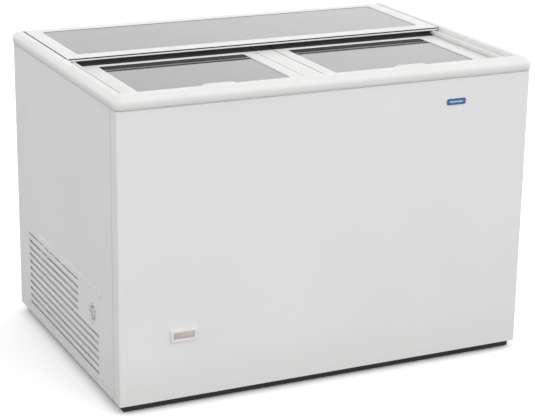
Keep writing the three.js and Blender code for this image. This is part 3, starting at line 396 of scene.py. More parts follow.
def galvanised():
    """Zinc-coated steel with its spangle."""
    made = Finish("galvanised", "a4a9ac", 0.42, 0.85)
    made.tint(made.cells(90.0), 0.2, 0.6, "8b9194")
    made.tint(made.noise(12.0, 4.0), 0.5, 0.8, "b9bdbf")
    made.roughen(made.cells(110.0), 0.34, 0.55)
    made.bump(made.cells(100.0), 0.00008, 0.3)
    return made.material


def black_steel():
    """Dark painted steel with an uneven skin. On the base pan and its rails, the dark tone also paints the
    shade band under the cabinet's bottom edge.
    """
    made = Finish("black_steel", "2e2f31", 0.38, 0.2, Coat_Weight=0.3, Coat_Roughness=0.2)
    made.tint(made.noise(18.0, 4.0), 0.5, 0.8, "222326")
    made.roughen(made.noise(30.0), 0.3, 0.5)
    made.bump(made.noise(260.0, 2.0), 0.0001, 0.5)
    return made.material


def aluminium():
    """Mill-finish fins with a fine upright grain."""
    made = Finish("aluminium", "bfc2c5", 0.36, 0.95)
    made.tint(made.noise(50.0, 3.0, (1, 1, 0.1)), 0.4, 0.75, "a6aaad")
    made.roughen(made.noise(140.0, 2.0, (1, 1, 0.08)), 0.28, 0.48)
    made.bump(made.noise(500.0, 2.0, (1, 1, 0.05)), 0.00004, 0.5)
    return made.material


def copper():
    """Drawn copper, dulled in patches."""
    made = Finish("copper", "b06c42", 0.32, 0.95)
    made.tint(made.noise(22.0, 4.0), 0.42, 0.7, "7d4a32")
    made.tint(made.noise(70.0, 3.0), 0.66, 0.8, "6b5a48")
    made.roughen(made.noise(45.0), 0.26, 0.5)
    made.bump(made.noise(350.0, 2.0), 0.00006, 0.4)
    return made.material


def foam():
    """Poured insulation foam with open cells at its skin."""
    made = Finish("foam", "d8c88c", 0.95)
    made.tint(made.noise(9.0, 4.0), 0.35, 0.75, "c4b072")
    made.roughen(made.noise(60.0), 0.88, 1.0)
    made.bump(made.cells(420.0), 0.0006, 0.7)
    return made.material


def ink(name, code):
    """A printed or moulded mark with a slightly uneven edge to its gloss."""
    made = Finish(name, code, 0.5)
    made.tint(made.noise(300.0, 2.0), 0.55, 0.9, "8a8a8a")
    made.bump(made.noise(900.0, 2.0), 0.00002, 0.4)
    return made.material


finishes = {make.__name__: make() for make in (
    white_steel, white_plastic, liner_white, glass, black_rubber, black_plastic, grey_plastic,
    blue_plate, smoked_lens, galvanised, black_steel, aluminium, copper, foam,
)}
finishes["mark_grey"] = ink("mark_grey", "8d8e8f")
finishes["mark_red"] = ink("mark_red", "c4706a")
finishes["mark_dark"] = ink("mark_dark", "55565a")
finishes["mark_pale"] = ink("mark_pale", "b9cbe0")


# ---------------------------------------------------------------- mesh helpers


def mesh_object(name, points, faces):
    """An object from points in millimetres, with its faces turned outwards."""
    mesh = bpy.data.meshes.new(name)
    mesh.from_pydata([Vector(p) * MM for p in points], [], faces)
    made = bpy.data.objects.new(name, mesh)
    bpy.context.scene.collection.objects.link(made)
    shape = bmesh.new()
    shape.from_mesh(mesh)
    bmesh.ops.recalc_face_normals(shape, faces=shape.faces)
    shape.to_mesh(mesh)
    shape.free()
    return made


def settled(made):
    """The object with its modifiers worked into its mesh."""
    bpy.context.view_layer.update()
    final = bpy.data.meshes.new_from_object(made.evaluated_get(bpy.context.evaluated_depsgraph_get()))
    made.modifiers.clear()
    made.data = final
    return made


def merged(name, *objects):
    """Several objects as one, by that name."""
    shape = bmesh.new()
    for part in objects:
        shape.from_mesh(part.data)
        bpy.data.objects.remove(part)
    mesh = bpy.data.meshes.new(name)
    shape.to_mesh(mesh)
    shape.free()
    made = bpy.data.objects.new(name, mesh)
    bpy.context.scene.collection.objects.link(made)
    return made


def carved(made, *tools, operation="DIFFERENCE"):
    """The object cut by, or joined to, tools that don't overlap each other."""
    tool = merged("tool", *tools)
    change = made.modifiers.new("carve", "BOOLEAN")
    change.operation = operation
    change.solver = "EXACT"
    change.object = tool
    settled(made)
    bpy.data.objects.remove(tool)
    return made


def soften(made, width, segments=2, angle=30.0):
    """Rounds the object's sharp edges by a width in millimetres."""
    change = made.modifiers.new("soften", "BEVEL")
    change.width = width * MM
    change.segments = segments
    change.limit_method = "ANGLE"
    change.angle_limit = math.radians(angle)
    change.harden_normals = True
    return made


def smooth(made, angle=35.0):
    """Shades the object smooth except across edges sharper than an angle."""
    mesh = made.data
    mesh.polygons.foreach_set("use_smooth", [True] * len(mesh.polygons))
    mesh.set_sharp_from_angle(angle=math.radians(angle))
    return made


def weigh(made):
    """Lets the large faces lead the shading, so that flat plates stay flat round their holes."""
    change = made.modifiers.new("weigh", "WEIGHTED_NORMAL")
    change.keep_sharp = True
    return made


def dress(made, finish, body, *stands_for, slot=None, angle=35.0):
    """Gives a piece its material, its body and the CAD nodes that it stands for."""
    smooth(made, angle)
    made.data.materials.clear()
    made.data.materials.append(finishes[finish])
    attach(made, body)
    if stands_for:
        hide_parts(*stands_for)
    return made


def rounded(u0, u1, v0, v1, r, steps=8):
    """Points round a rectangle with round corners."""
    points = []
    corners = ((u1 - r, v0 + r, -90), (u1 - r, v1 - r, 0), (u0 + r, v1 - r, 90), (u0 + r, v0 + r, 180))
    for u, v, start in corners:
        for step in range(steps + 1):
            turn = math.radians(start + 90 * step / steps)
            points.append((u + r * math.cos(turn), v + r * math.sin(turn)))
    return points


def capsule(u0, u1, v, height, steps=6):
    """Points round a slot with round ends."""
    r = height / 2
    points = []
    for centre, start in ((u1 - r, -90), (u0 + r, 90)):
        for step in range(steps + 1):
            turn = math.radians(start + 180 * step / steps)
            points.append((centre + r * math.cos(turn), v + r * math.sin(turn)))
    return points


PLACE = {
    "x": lambda u, v, w: (w, u, v),
    "y": lambda u, v, w: (u, w, v),
    "z": lambda u, v, w: (u, v, w),
}


def loft(name, outlines, levels, axis="z", closed=False):
    """A skin through outlines of equal length, each at its level along an axis.

    Closed, the last outline meets the first."""
    count = len(outlines[0])
    points = [PLACE[axis](u, v, w) for outline, w in zip(outlines, levels) for u, v in outline]
    rings = len(outlines)
    faces = []
    for ring in range(rings if closed else rings - 1):
        here, there = ring * count, ((ring + 1) % rings) * count
        for i in range(count):
            j = (i + 1) % count
            faces.append((here + i, here + j, there + j, there + i))
    if not closed:
        faces.append(tuple(range(count)))
        faces.append(tuple(range((rings - 1) * count, rings * count)))
    return mesh_object(name, points, faces)


def prism(name, outline, start, end, axis="z"):
    """An outline carried along an axis."""
    return loft(name, [outline, outline], [start, end], axis)


def slab(name, low, high):
    """A plain block between two corners, for cutting tools, fillers and the floor."""
    outline = [(low[0], low[1]), (high[0], low[1]), (high[0], high[1]), (low[0], high[1])]
    return prism(name, outline, low[2], high[2])


def lathe(name, profile, centre, axis="z", segments=48, ring=False, flutes=0, flute_depth=0.0):
    """A turned shape from [radius, place along the axis] points. A ring's profile closes on itself."""
    outlines = []
    for r, _ in profile:
        outline = []
        for i in range(segments):
            turn = 2 * math.pi * i / segments
            reach = max(r, 0.01)
            if flutes and r > flute_depth * 6:
                reach -= flute_depth * (0.5 - 0.5 * math.cos(flutes * turn))
            outline.append((centre[0] + reach * math.cos(turn), centre[1] + reach * math.sin(turn)))
        outlines.append(outline)
    return loft(name, outlines, [w for _, w in profile], axis, closed=ring)


def arc(centre_u, centre_v, r, start, end, steps):
    """Points along an arc, with its angles in degrees."""
    turns = [math.radians(start + (end - start) * i / steps) for i in range(steps + 1)]
    return [(centre_u + r * math.cos(turn), centre_v + r * math.sin(turn)) for turn in turns]


# ---------------------------------------------------------------- top rim


rim_x = box("right_rim")[1].x
rim_front, rim_rear = box("front_rim")[0].y, box("rear_rim")[1].y
rim_foot, rim_top = box("front_rim")[0].z, box("front_rim")[1].z
rim_base = box("front_panel")[1].z + GAP
liner_low, liner_high = box("inner_liner")
lid_low, lid_high = box("left_lid_frame")
rear_low, rear_high = box("rear_lid_frame")
lower_track_z = lid_low.z - GAP
upper_track_z = box("rear_lid_left_runner")[0].z - GAP
upper_wall_x = rear_high.x + REAR_LID_SIDE_CLEAR
lower_wall_x = -lid_low.x + FRONT_LID_SIDE_CLEAR
front_wall = lid_low.y - LID_CLEAR
rear_upper_wall = rear_high.y + LID_CLEAR
rear_lower_wall = box("centre_divider")[1].y + GAP
ridge_x = box("rear_lid_right_runner")[0].x - 2 * LID_CLEAR


def top_rim():
    """The moulded rim: a bullnose outside, and inside it an upper and a lower track round the tub's mouth."""
    overhang = rim_x - box("right_side_panel")[1].x
    outlines, levels = [], []

    def ring(x, front, rear, r, z):
        outlines.append(rounded(-x, x, front, rear, r))
        levels.append(z)

    def outer(inset, z):
        ring(rim_x - inset, rim_front + inset, rim_rear - inset, RIM_CORNER_R - inset, z)

    for z in (rim_foot, rim_base + RIM_TUCK_OVERLAP):
        ring(rim_x - RIM_TUCK, rim_front + RIM_TUCK, rim_rear - RIM_TUCK, RIM_TUCK_R, z)
    for turn in range(0, 91, 15):
        angle = math.radians(turn)
        outer(overhang * (1 - math.sin(angle)), rim_base + RIM_CHIN * (1 - math.cos(angle)))
    for turn in range(0, 91, 10):
        angle = math.radians(turn)
        outer(RIM_NOSE * (1 - math.cos(angle)), rim_top - RIM_NOSE + RIM_NOSE * math.sin(angle))
    for turn in range(0, 91, 30):
        angle = math.radians(turn)
        grow = UPPER_TRACK_EDGE * (1 - math.sin(angle))
        drop = UPPER_TRACK_EDGE * (1 - math.cos(angle))
        r = UPPER_TRACK_R + grow
        ring(upper_wall_x + grow, front_wall - grow, rear_upper_wall + grow, r, rim_top - drop)
    ring(upper_wall_x, front_wall, rear_upper_wall, UPPER_TRACK_R, upper_track_z)
    x, rear, r = lower_wall_x, rear_lower_wall, LOWER_TRACK_R
    ring(x + LOWER_TRACK_EDGE, front_wall + WALL_STEP, rear + LOWER_TRACK_EDGE, r, upper_track_z)
    for z in (upper_track_z - LOWER_TRACK_EDGE, lower_track_z):
        ring(x, front_wall + 2 * WALL_STEP, rear, r, z)
    tub_x = liner_high.x - TUB_LAP
    tub_front, tub_rear = liner_low.y + TUB_LAP, liner_high.y - TUB_LAP
    edge = MOUTH_EDGE
    ring(tub_x + edge, tub_front - edge, tub_rear + edge, MOUTH_R + edge, lower_track_z)
    for z in (lower_track_z - edge, rim_foot):
        ring(tub_x, tub_front, tub_rear, MOUTH_R, z)
    made = loft("top_rim", outlines, levels, closed=True)
    return dress(made, "white_plastic", "cabinet", "front_rim", "rear_rim", "left_rim", "right_rim", angle=32)


def track_rails():
    """The raised rail on each upper track that the rear lid's runners slide beside."""
    width, r = ridge_x - lower_wall_x, TRACK_RAIL_EDGE_R
    foot, top = upper_track_z - TRACK_RAIL_SUNK, upper_track_z + TRACK_RAIL_H
    start, end = front_wall + TRACK_RAIL_END_CLEAR, rear_upper_wall - TRACK_RAIL_END_CLEAR
    parts = []
    for name, centre in (("left", -(ridge_x + lower_wall_x) / 2), ("right", (ridge_x + lower_wall_x) / 2)):
        low, high = centre - width / 2, centre + width / 2
        profile = [(low, foot), (high, foot)]
        profile += arc(high - r, top - r, r, 0, 90, 4) + arc(low + r, top - r, r, 90, 180, 4)
        parts.append(prism(name, profile, start, end, "y"))
    return dress(merged("track_rails", *parts), "white_plastic", "cabinet")


top_rim()
track_rails()


# ---------------------------------------------------------------- lids


def lid_frame(node, body, glass_node, lip):
    """A moulded lid frame with softened edges, round a window whose pane sits in a groove.

    lip is how far the front edge's top stands back over a groove, or 0 for a plain edge."""
    low, high = box(node)
    pane_low, pane_high = box(glass_node)
    x0, x1, y0, y1 = low.x, high.x, low.y, high.y
    w = (pane_low.x + GLASS_GRIP, pane_high.x - GLASS_GRIP, pane_low.y + GLASS_GRIP, pane_high.y - GLASS_GRIP)
    outlines, levels = [], []

    def outer(inset, z, front=0.0):
        outlines.append(rounded(x0 + inset, x1 - inset, y0 + inset + front, y1 - inset, LID_CORNER_R - inset))
        levels.append(z)

    def inner(grow, z, r=PANE_CORNER_R):
        outlines.append(rounded(w[0] - grow, w[1] + grow, w[2] - grow, w[3] + grow, r))
        levels.append(z)

    outer(0.6, low.z)
    outer(0.0, low.z + 0.6)
    edge, setback = LID_TOP_EDGE_R, lip * LIP_SETBACK_SHARE
    if lip:
        outer(0.0, low.z + LEDGE_TOP - 0.6)
        outer(0.3, low.z + LEDGE_TOP - 0.1)
        outer(0.3, low.z + LEDGE_TOP, lip)
        outer(0.0, low.z + BEAD_TOP - 0.1, lip)
        outer(0.0, low.z + BEAD_TOP, setback)
        edge = LIP_TOP_EDGE_R
    for turn in (0, 30, 60, 90):
        angle = math.radians(turn)
        outer(edge * (1 - math.cos(angle)), high.z - edge + edge * math.sin(angle), setback)
    for grow, drop in ((3.0, 0.0), (2.0, 0.25), (0.5, 1.1)):
        inner(grow, high.z - drop, PANE_CORNER_R + grow)
    inner(0.0, pane_high.z + GAP + 0.05)
    inner(GLASS_GRIP + GAP, pane_high.z + GAP, 0.3)
    inner(GLASS_GRIP + GAP, pane_low.z - GAP, 0.3)
    inner(0.0, pane_low.z - GAP - 0.05)
    inner(0.0, low.z + 0.5)
    inner(0.5, low.z)
    made = loft(f"{node}_moulded", outlines, levels, closed=True)
    return dress(made, "white_plastic", body, node, angle=32)


def lid_bead():
    """The black bead in the groove along the rear lid's front edge; its black also paints the shade in the
    groove.
    """
    low, high = box("rear_lid_frame")
    y0, y1 = low.y + 1.2, low.y + REAR_LIP - 0.2
    z0, z1 = low.z + LEDGE_TOP + 0.1, low.z + BEAD_TOP - 0.2
    r = 1.0
    profile = [(y1, z0), (y1, z1)] + arc(y0 + r, z1 - r, r, 90, 180, 4) + arc(y0 + r, z0 + r, r, 180, 270, 4)
    made = prism("rear_lid_bead", profile, low.x + 6.0, high.x - 6.0, "x")
    return dress(made, "black_rubber", "rear_lid")


def edge_strips(node, body, reach):
    """Black strips let into both ends of a lid, towards the rails that it slides between; partly real strips,
    their black also paints the shade in the gap beside the lid.
    """
    low, high = box(node)
    z0, z1 = low.z + 1.0, high.z - 0.4
    front, rear = low.y + STRIP_END_CLEAR, high.y - STRIP_END_CLEAR
    parts = []
    for name, face, sign in (("low", low.x, -1), ("high", high.x, 1)):
        tip = face + sign * reach
        lip = reach * 0.5
        profile = [(face - sign * 0.4, z0), (face + sign * lip, z0), (tip, z0 + 1.0), (tip, z1 - 1.0),
                   (face + sign * lip, z1), (face - sign * 0.4, z1)]
        parts.append(prism(name, profile, front, rear, "y"))
    return dress(merged(f"{body}_edge_strips", *parts), "black_rubber", body)


def pane_shade_band(side):
    """A black strip along the rear edge of a front pane, as painted shade: it stands in for the dark band of
    shade at the pane's rear edge, under the rear lid.
    """
    low, high = box(f"{side}_lid_glass")
    x0, x1 = low.x + GLASS_GRIP + 0.4, high.x - GLASS_GRIP - 0.4
    rear = high.y - GLASS_GRIP - 0.4
    foot, top, r = high.z + 0.1, high.z + 0.9, 0.7
    front = rear - PANE_SHADE_BAND_W
    outlines = [rounded(x0 + inset, x1 - inset, front + inset, rear - inset, PANE_SHADE_BAND_CORNER_R - inset)
                for inset in (0.0, 0.0, r)]
    made = loft(f"{side}_lid_pane_band", outlines, [foot, top - 0.3, top])
    return dress(made, "black_rubber", f"{side}_lid")


def lid_grip(node, body):
    """A low finger pull: it swells from the frame at both ends, and its front is hollowed under a lip."""
    low, high = box(node)
    middle = (low + high) / 2
    half, tall = (high.x - low.x) / 2, high.z - low.z
    full = [(-18, 0), (-17.6, 0.1), (-11, 0.14), (-7.2, 0.34), (-7.6, 0.58), (-12.2, 0.7), (-14.2, 0.82),
            (-13.6, 0.95), (-11.5, 1.0), (-4, 1.0), (6, 0.96), (12.5, 0.8), (16.4, 0.5), (17.8, 0.15),
            (18, 0)]
    flat = [(y, min(z, 0.05) if i < 6 else 0.05 * (i < 14)) for i, (y, z) in enumerate(full)]
    outlines, levels = [], []
    for i in range(GRIP_STATIONS + 1):
        x = -half + 2 * half * i / GRIP_STATIONS
        rise = min(1.0, (half - abs(x)) / GRIP_RAMP)
        rise = rise * rise * (3 - 2 * rise)
        section = []
        for (y_full, z_full), (y_flat, z_flat) in zip(full, flat):
            y = y_flat + (y_full - y_flat) * rise
            z = z_flat + (z_full - z_flat) * rise
            section.append((middle.y + y, low.z + tall * z))
        outlines.append(section)
        levels.append(middle.x + x)
    made = loft(f"{body}_grip", outlines, levels, "x")
    return dress(made, "white_plastic", body, node, angle=50)


def wiper(name, node, body):
    """A rubber strip: two upright lips that wipe the rear lid's underside, behind a ribbed flat flange."""
    low, high = box(node)
    y0, y1, z0, z1 = high.y - WIPER_W, high.y, low.z, high.z
    flange = z0 + WIPER_FLANGE_T
    profile = [(low.y, z0), (y1, z0), (y1, z0 + 4), (y1 - 0.8, z0 + 5), (y1 - 0.9, z1 - 1), (y1 - 1.4, z1),
               (y1 - 2.2, z1 - 0.6), (y1 - 2.6, z0 + 6), (y0 + 2.6, z0 + 6), (y0 + 2.2, z1 - 0.6),
               (y0 + 1.4, z1), (y0 + 0.9, z1 - 1), (y0 + 0.8, z0 + 5), (y0, flange)]
    middle = (low.y + y0) / 2
    profile += [(middle + 2.4, flange - 0.2), (middle + 1.4, flange - 1.2), (middle - 1.4, flange - 1.2),
                (middle - 2.4, flange - 0.2), (low.y + 1.2, flange), (low.y, flange - 1.2)]
    made = prism(name, profile, low.x, high.x, "x")
    return dress(made, "black_rubber", body, node, angle=40)


lid_frame("rear_lid_frame", "rear_lid", "rear_lid_glass", lip=REAR_LIP)
# The black bead partly paints the shade line in the rear lid's front groove.
lid_bead()
# The black strips at the lids' ends also paint the shade in the side gaps.
edge_strips("rear_lid_frame", "rear_lid", REAR_STRIP_REACH)
for side in ("left", "right"):
    lid_frame(f"{side}_lid_frame", f"{side}_lid", f"{side}_lid_glass", lip=0.0)
    lid_grip(f"{side}_lid_handle", f"{side}_lid")
    wiper(f"{side}_lid_wiper", f"{side}_lid_seal", f"{side}_lid")
    edge_strips(f"{side}_lid_frame", f"{side}_lid", FRONT_STRIP_REACH)
    # Black strip that paints the shade at the pane's rear edge.
    pane_shade_band(side)
wiper("divider_wiper", "divider_seal", "cabinet")


def divider_bar():
    """The bar between the front lids: a rounded cap over a beam with a ledge on each side."""
    low, high = box("centre_divider")
    cap = -box("left_lid_frame")[1].x - LID_CLEAR
    r = DIVIDER_EDGE_R
    beam_front = liner_low.y + TUB_LAP + GAP
    beam_rear = liner_high.y - TUB_LAP - GAP
    ledge, stem_top = low.z + DIVIDER_LEDGE, low.z + DIVIDER_STEM
    cap_profile = [(-cap, ledge + GAP), (cap, ledge + GAP)]
    cap_profile += arc(cap - r, high.z - r, r, 0, 90, 5) + arc(-cap + r, high.z - r, r, 90, 180, 5)
    top = prism("cap", cap_profile, low.y, high.y, "y")
    stem, foot_edge, ledge_edge = cap - 1, 1.0, 0.6
    beam_profile = [(low.x + foot_edge, low.z), (high.x - foot_edge, low.z), (high.x, low.z + foot_edge),
                    (high.x, ledge - ledge_edge), (high.x - ledge_edge, ledge), (stem, ledge),
                    (stem, stem_top), (-stem, stem_top), (-stem, ledge), (low.x + ledge_edge, ledge),
                    (low.x, ledge - ledge_edge), (low.x, low.z + foot_edge)]
    beam = prism("beam", beam_profile, beam_front, beam_rear, "y")
    made = carved(top, beam, operation="UNION")
    made.name = "divider_bar"
    return dress(made, "white_plastic", "cabinet", "centre_divider")


divider_bar()


# ---------------------------------------------------------------- cabinet sheets


def front_sheet():
    """The front sheet folded round both corners, pierced behind the indicator."""
    low, high = box("front_panel")
    thick, r, segments = SHEET_T, SHEET_FOLD_R, 8
    outer = [(low.x, high.y)] + arc(low.x + r, low.y + r, r, 180, 270, segments)
    outer += arc(high.x - r, low.y + r, r, 270, 360, segments) + [(high.x, high.y)]
    inner_r = r - thick
    inner = [(high.x - thick, high.y)] + arc(high.x - r, low.y + r, inner_r, 360, 270, segments)
    inner += arc(low.x + r, low.y + r, inner_r, 270, 180, segments) + [(low.x + thick, high.y)]
    sheet = prism("front_sheet", outer + inner, low.z, high.z)
    bezel_low, bezel_high = box("indicator_bezel")
    lap = BEZEL_LAP
    hole = slab("hole", (bezel_low.x + lap, low.y - 5, bezel_low.z + lap),
                (bezel_high.x - lap, low.y + 5, bezel_high.z - lap))
    carved(sheet, hole)
    return weigh(dress(sheet, "white_steel", "cabinet", "front_panel", angle=25))


def corner_seams():
    """The black beads that fill the seams between the front sheet's returns and the side sheets."""
    start, end = box("front_panel")[1].y + 0.1, box("left_side_panel")[0].y - 0.1
    low, high = box("front_panel")
    parts = []
    for face, sign in ((low.x, 1), (high.x, -1)):
        near, far = sorted((face + sign * SEAM_FROM_FACE, face + sign * SEAM_DEPTH))
        foot, top = low.z + SEAM_END_CLEAR, high.z - SEAM_END_CLEAR
        parts.append(slab("seam", (near, start, foot), (far, end, top)))
    return dress(merged("corner_seams", *parts), "black_rubber", "cabinet")


front_sheet()
corner_seams()


# ---------------------------------------------------------------- grille and thermostat


grille_low, grille_high = box("side_grille")
knob_low, knob_high = box("thermostat_knob")
dial_y, dial_z = (knob_low.y + knob_high.y) / 2, (knob_low.z + knob_high.z) / 2


def slot_spans(row):
    """The slots of one row as (front end, rear end) pairs."""
    front = grille_low.y + (DIAL_ZONE if row < SHORT_ROWS else SLOT_FRONT_INSET)
    rear = grille_high.y - SLOT_REAR_INSET
    parts = TOP_ROW_PARTS if row == 0 else 1
    length = (rear - front - TOP_ROW_BRIDGE * (parts - 1)) / parts
    starts = [front + i * (length + TOP_ROW_BRIDGE) for i in range(parts)]
    return [(start, start + length) for start in starts]


def louvre(face, front, rear, z):
    """One curved blade that rises inwards from a slot's lower lip."""
    upper = []
    for i in range(LOUVRE_STEPS + 1):
        t = i / LOUVRE_STEPS
        upper.append((face + LOUVRE_SET_BACK + LOUVRE_REACH * t, z + LOUVRE_RISE * t ** 1.5))
    lower = [(x, height - LOUVRE_T) for x, height in reversed(upper)]
    return prism("louvre", upper + lower, front - LOUVRE_SIDE_LAP, rear + LOUVRE_SIDE_LAP, "y")


def grille_panel():
    """The insert: a plate with round-ended slots, a blade behind each slot below the top row, and a hole for
    the knob's cup.
    """
    face = grille_low.x
    inset = GRILLE_EDGE
    y0, y1, z0, z1 = grille_low.y, grille_high.y, grille_low.z, grille_high.z
    outlines, levels = [], []
    for grow, x in ((inset, face), (0.25, face + 0.3), (0.0, face + inset), (0.0, face + GRILLE_T)):
        outlines.append(rounded(y0 + grow, y1 - grow, z0 + grow, z1 - grow, GRILLE_CORNER_R - grow))
        levels.append(x)
    plate = loft("grille_panel", outlines, levels, "x")
    pitch = (z1 - z0 - SLOT_TOP_INSET - SLOT_BOTTOM_INSET) / (SLOT_ROWS - 1)
    cutters, blades = [], []
    for row in range(SLOT_ROWS):
        z = z1 - SLOT_TOP_INSET - row * pitch
        height = SLOT_H / 2 if row == 0 else SLOT_H
        for front, rear in slot_spans(row):
            cutters.append(prism("slot", capsule(front, rear, z, height), face - 5, face + GRILLE_T + 5, "x"))
            if row > 0:
                blades.append(louvre(face, front, rear, z - height / 2 + 0.4))
    cutters.append(lathe("hole", [(CUP_R, face - 5), (CUP_R, face + 8)], (dial_y, dial_z), "x", 64))
    carved(plate, *cutters)
    soften(plate, 0.5, 2)
    settled(plate)
    made = merged("grille_panel", plate, *blades)
    dress(made, "white_steel", "cabinet", "side_grille", angle=20)
    return weigh(made)


def dial_cup():
    """The dished cup that the knob stands in."""
    face, deep = grille_low.x, CUP_DEPTH
    profile = [(CUP_R, face + 0.4), (CUP_R - 0.6, face + 0.8), (CUP_R - 0.8, face + deep - 2),
               (CUP_R - 1.4, face + deep - 0.6), (CUP_R - 2.8, face + deep), (4.0, face + deep),
               (4.0, face + deep + 3), (CUP_R + 1.6, face + deep + 3), (CUP_R + 2.2, face + deep + 2.2),
               (CUP_R + 2.2, face + GRILLE_T), (CUP_R, face + GRILLE_T)]
    made = lathe("dial_cup", profile, (dial_y, dial_z), "x", 64, ring=True)
    return dress(made, "white_steel", "cabinet")


def dial_marks():
    """A scale of ticks round the cup that grow towards the coldest setting."""
    parts = []
    for i in range(DIAL_TICKS):
        turn = math.radians(DIAL_START - DIAL_SWEEP * i / (DIAL_TICKS - 1))
        r0 = CUP_R + TICK_FROM_CUP
        r1 = r0 + TICK_SHORTEST + TICK_GROWTH * i
        along = Vector((math.cos(turn), math.sin(turn)))
        across = Vector((-along.y, along.x)) * TICK_HALF_W
        centre = Vector((dial_y, dial_z))
        corners = [centre + along * r0 - across, centre + along * r1 - across,
                   centre + along * r1 + across, centre + along * r0 + across]
        parts.append(prism("tick", [tuple(c) for c in corners], grille_low.x - 0.35, grille_low.x + 0.5, "x"))
    return dress(merged("dial_marks", *parts), "mark_dark", "cabinet", slot="grey_plastic")


def knob():
    """A fluted knob with a pointer ridge across its crown."""
    r = (knob_high.y - knob_low.y) / 2
    tip = knob_low.x
    crown = tip + 1.0
    profile = [(0, crown + 1.6), (r * 0.55, crown + 1.5), (r * 0.72, crown + 1.1), (r * 0.78, crown + 1.2),
               (r * 0.86, crown + 2.2), (r * 0.94, crown + 3.2), (r, crown + 4.6), (r, crown + 10.5),
               (r - 0.8, crown + 11.4), (4.2, crown + 11.4), (3.0, crown + 12), (3.0, knob_high.x),
               (0, knob_high.x)]
    body = lathe("thermostat_dial", profile, (dial_y, dial_z), "x", 96,
                 flutes=KNOB_FLUTES, flute_depth=KNOB_FLUTE_DEPTH)
    ridge = [(dial_y - 1.6, dial_z - r * 0.62), (dial_y + 1.6, dial_z - r * 0.62),
             (dial_y + 2.3, dial_z + r * 0.3), (dial_y, dial_z + r * 0.9), (dial_y - 2.3, dial_z + r * 0.3)]
    narrow = [(dial_y + (u - dial_y) * 0.7, dial_z + (v - dial_z) * 0.92) for u, v in ridge]
    pointer = loft("pointer", [narrow, ridge, ridge], [tip, tip + 0.9, tip + 4.5], "x")
    made = merged("thermostat_dial", body, pointer)
    return dress(made, "grey_plastic", "knob", "thermostat_knob", angle=40)


def grille_screw(node):
    """A pan-head screw with a cross recess."""
    low, high = box(node)
    y, z = (low.y + high.y) / 2, (low.z + high.z) / 2
    r = (high.y - low.y) / 2
    tip = low.x
    profile = [(0, tip), (r * 0.5, tip + 0.08), (r * 0.8, tip + 0.4), (r * 0.97, tip + 1.0), (r, tip + 1.8),
               (2, tip + 1.8), (2, high.x - 1.5), (0.4, high.x), (0, high.x)]
    head = lathe(f"{node}_pan", profile, (y, z), "x", 32)
    arm, half = r * 0.62, 0.55
    cross = [(y - arm, z - half), (y - half, z - half), (y - half, z - arm), (y + half, z - arm),
             (y + half, z - half), (y + arm, z - half), (y + arm, z + half), (y + half, z + half),
             (y + half, z + arm), (y - half, z + arm), (y - half, z + half), (y - arm, z + half)]
    carved(head, prism("cross", cross, tip - 1, tip + 1.1, "x"))
    return dress(head, "white_steel", "cabinet", node, angle=40)


grille_panel()
dial_cup()
dial_marks()
knob()
for number in range(1, 5):
    grille_screw(f"grille_screw_{number}")


# ---------------------------------------------------------------- front fittings


def indicator():
    """The indicator: a softened bezel, a lens set back in it and three lamps behind the lens."""
    low, high = box("indicator_bezel")
    win_low, win_high = box("indicator_window")
    sheet = box("front_panel")[0].y
    outlines, levels = [], []

    def ring(inset, y, r):
        outlines.append(rounded(low.x + inset, high.x - inset, low.z + inset, high.z - inset, r))
        levels.append(y)

    def opening(grow, y, r=1.0):
        outlines.append(rounded(win_low.x - grow, win_high.x + grow, win_low.z - grow, win_high.z + grow, r))
        levels.append(y)

    ring(0.0, sheet - GAP, 3.5)
    ring(0.0, low.y + 1.8, 3.5)
    ring(0.4, low.y + 0.7, 3.1)
    ring(1.4, low.y + 0.1, 2.6)
    ring(2.2, low.y, 2.4)
    opening(1.4, low.y, 2.0)
    opening(0.5, low.y + 0.6, 1.4)
    opening(0.3, low.y + 1.4)
    opening(0.3, high.y)
    ring(5.0, high.y, 1.5)
    ring(5.0, sheet - GAP, 1.5)
    made = loft("indicator_surround", outlines, levels, "y", closed=True)
    dress(made, "white_plastic", "cabinet", "indicator_bezel", angle=32)

    lens_front, lens_back = win_low.y, win_high.y
    lens = loft(
        "indicator_lens",
        [rounded(win_low.x + g, win_high.x - g, win_low.z + g, win_high.z - g, 1.2) for g in (1.0, 0.0, 0.0)],
        [lens_front, lens_front + 0.6, lens_back], "y",
    )
    dress(lens, "smoked_lens", "cabinet", "indicator_window")

    middle_x, middle_z = (win_low.x + win_high.x) / 2, (win_low.z + win_high.z) / 2
    lamp_y = lens_back + 0.3
    lamps = {"left": (-1, "mark_grey"), "middle": (0, "mark_red"), "right": (1, "mark_grey")}
    for name, (place, finish) in lamps.items():
        x = middle_x + place * LAMP_SPACING
        foot, top = middle_z - LAMP_HALF_H, middle_z + LAMP_HALF_H
        shape = rounded(x - LAMP_HALF_W, x + LAMP_HALF_W, foot, top, 1.5, 4)
        lamp = prism(f"indicator_lamp_{name}", shape, lamp_y, lamp_y + 3, "y")
        dress(lamp, finish, "cabinet", slot="smoked_lens")
    plate = prism("indicator_backing", rounded(win_low.x, win_high.x, win_low.z, win_high.z, 1.0),
                  lamp_y + 1.2, lamp_y + 2.2, "y")
    dress(plate, "white_plastic", "cabinet")


def badge():
    """A blank blue badge with a raised edge and one pale stripe."""
    low, high = box("badge_plate")
    outlines, levels = [], []
    for inset, y in ((0.0, high.y), (0.0, low.y + 0.6), (0.4, low.y), (1.3, low.y), (1.6, low.y + 0.5)):
        r = BADGE_CORNER_R - inset
        outlines.append(rounded(low.x + inset, high.x - inset, low.z + inset, high.z - inset, r))
        levels.append(y)
    made = loft("blank_badge", outlines, levels, "y")
    dress(made, "blue_plate", "cabinet", "badge_plate")
    middle_x, middle_z = (low.x + high.x) / 2, (low.z + high.z) / 2
    outline = capsule(middle_x - BADGE_STRIPE_REACH, middle_x + BADGE_STRIPE_REACH, middle_z, BADGE_STRIPE_H)
    stripe = prism("badge_stripe", outline, low.y + 0.1, low.y + 0.7, "y")
    dress(stripe, "mark_pale", "cabinet", slot="blue_plate")


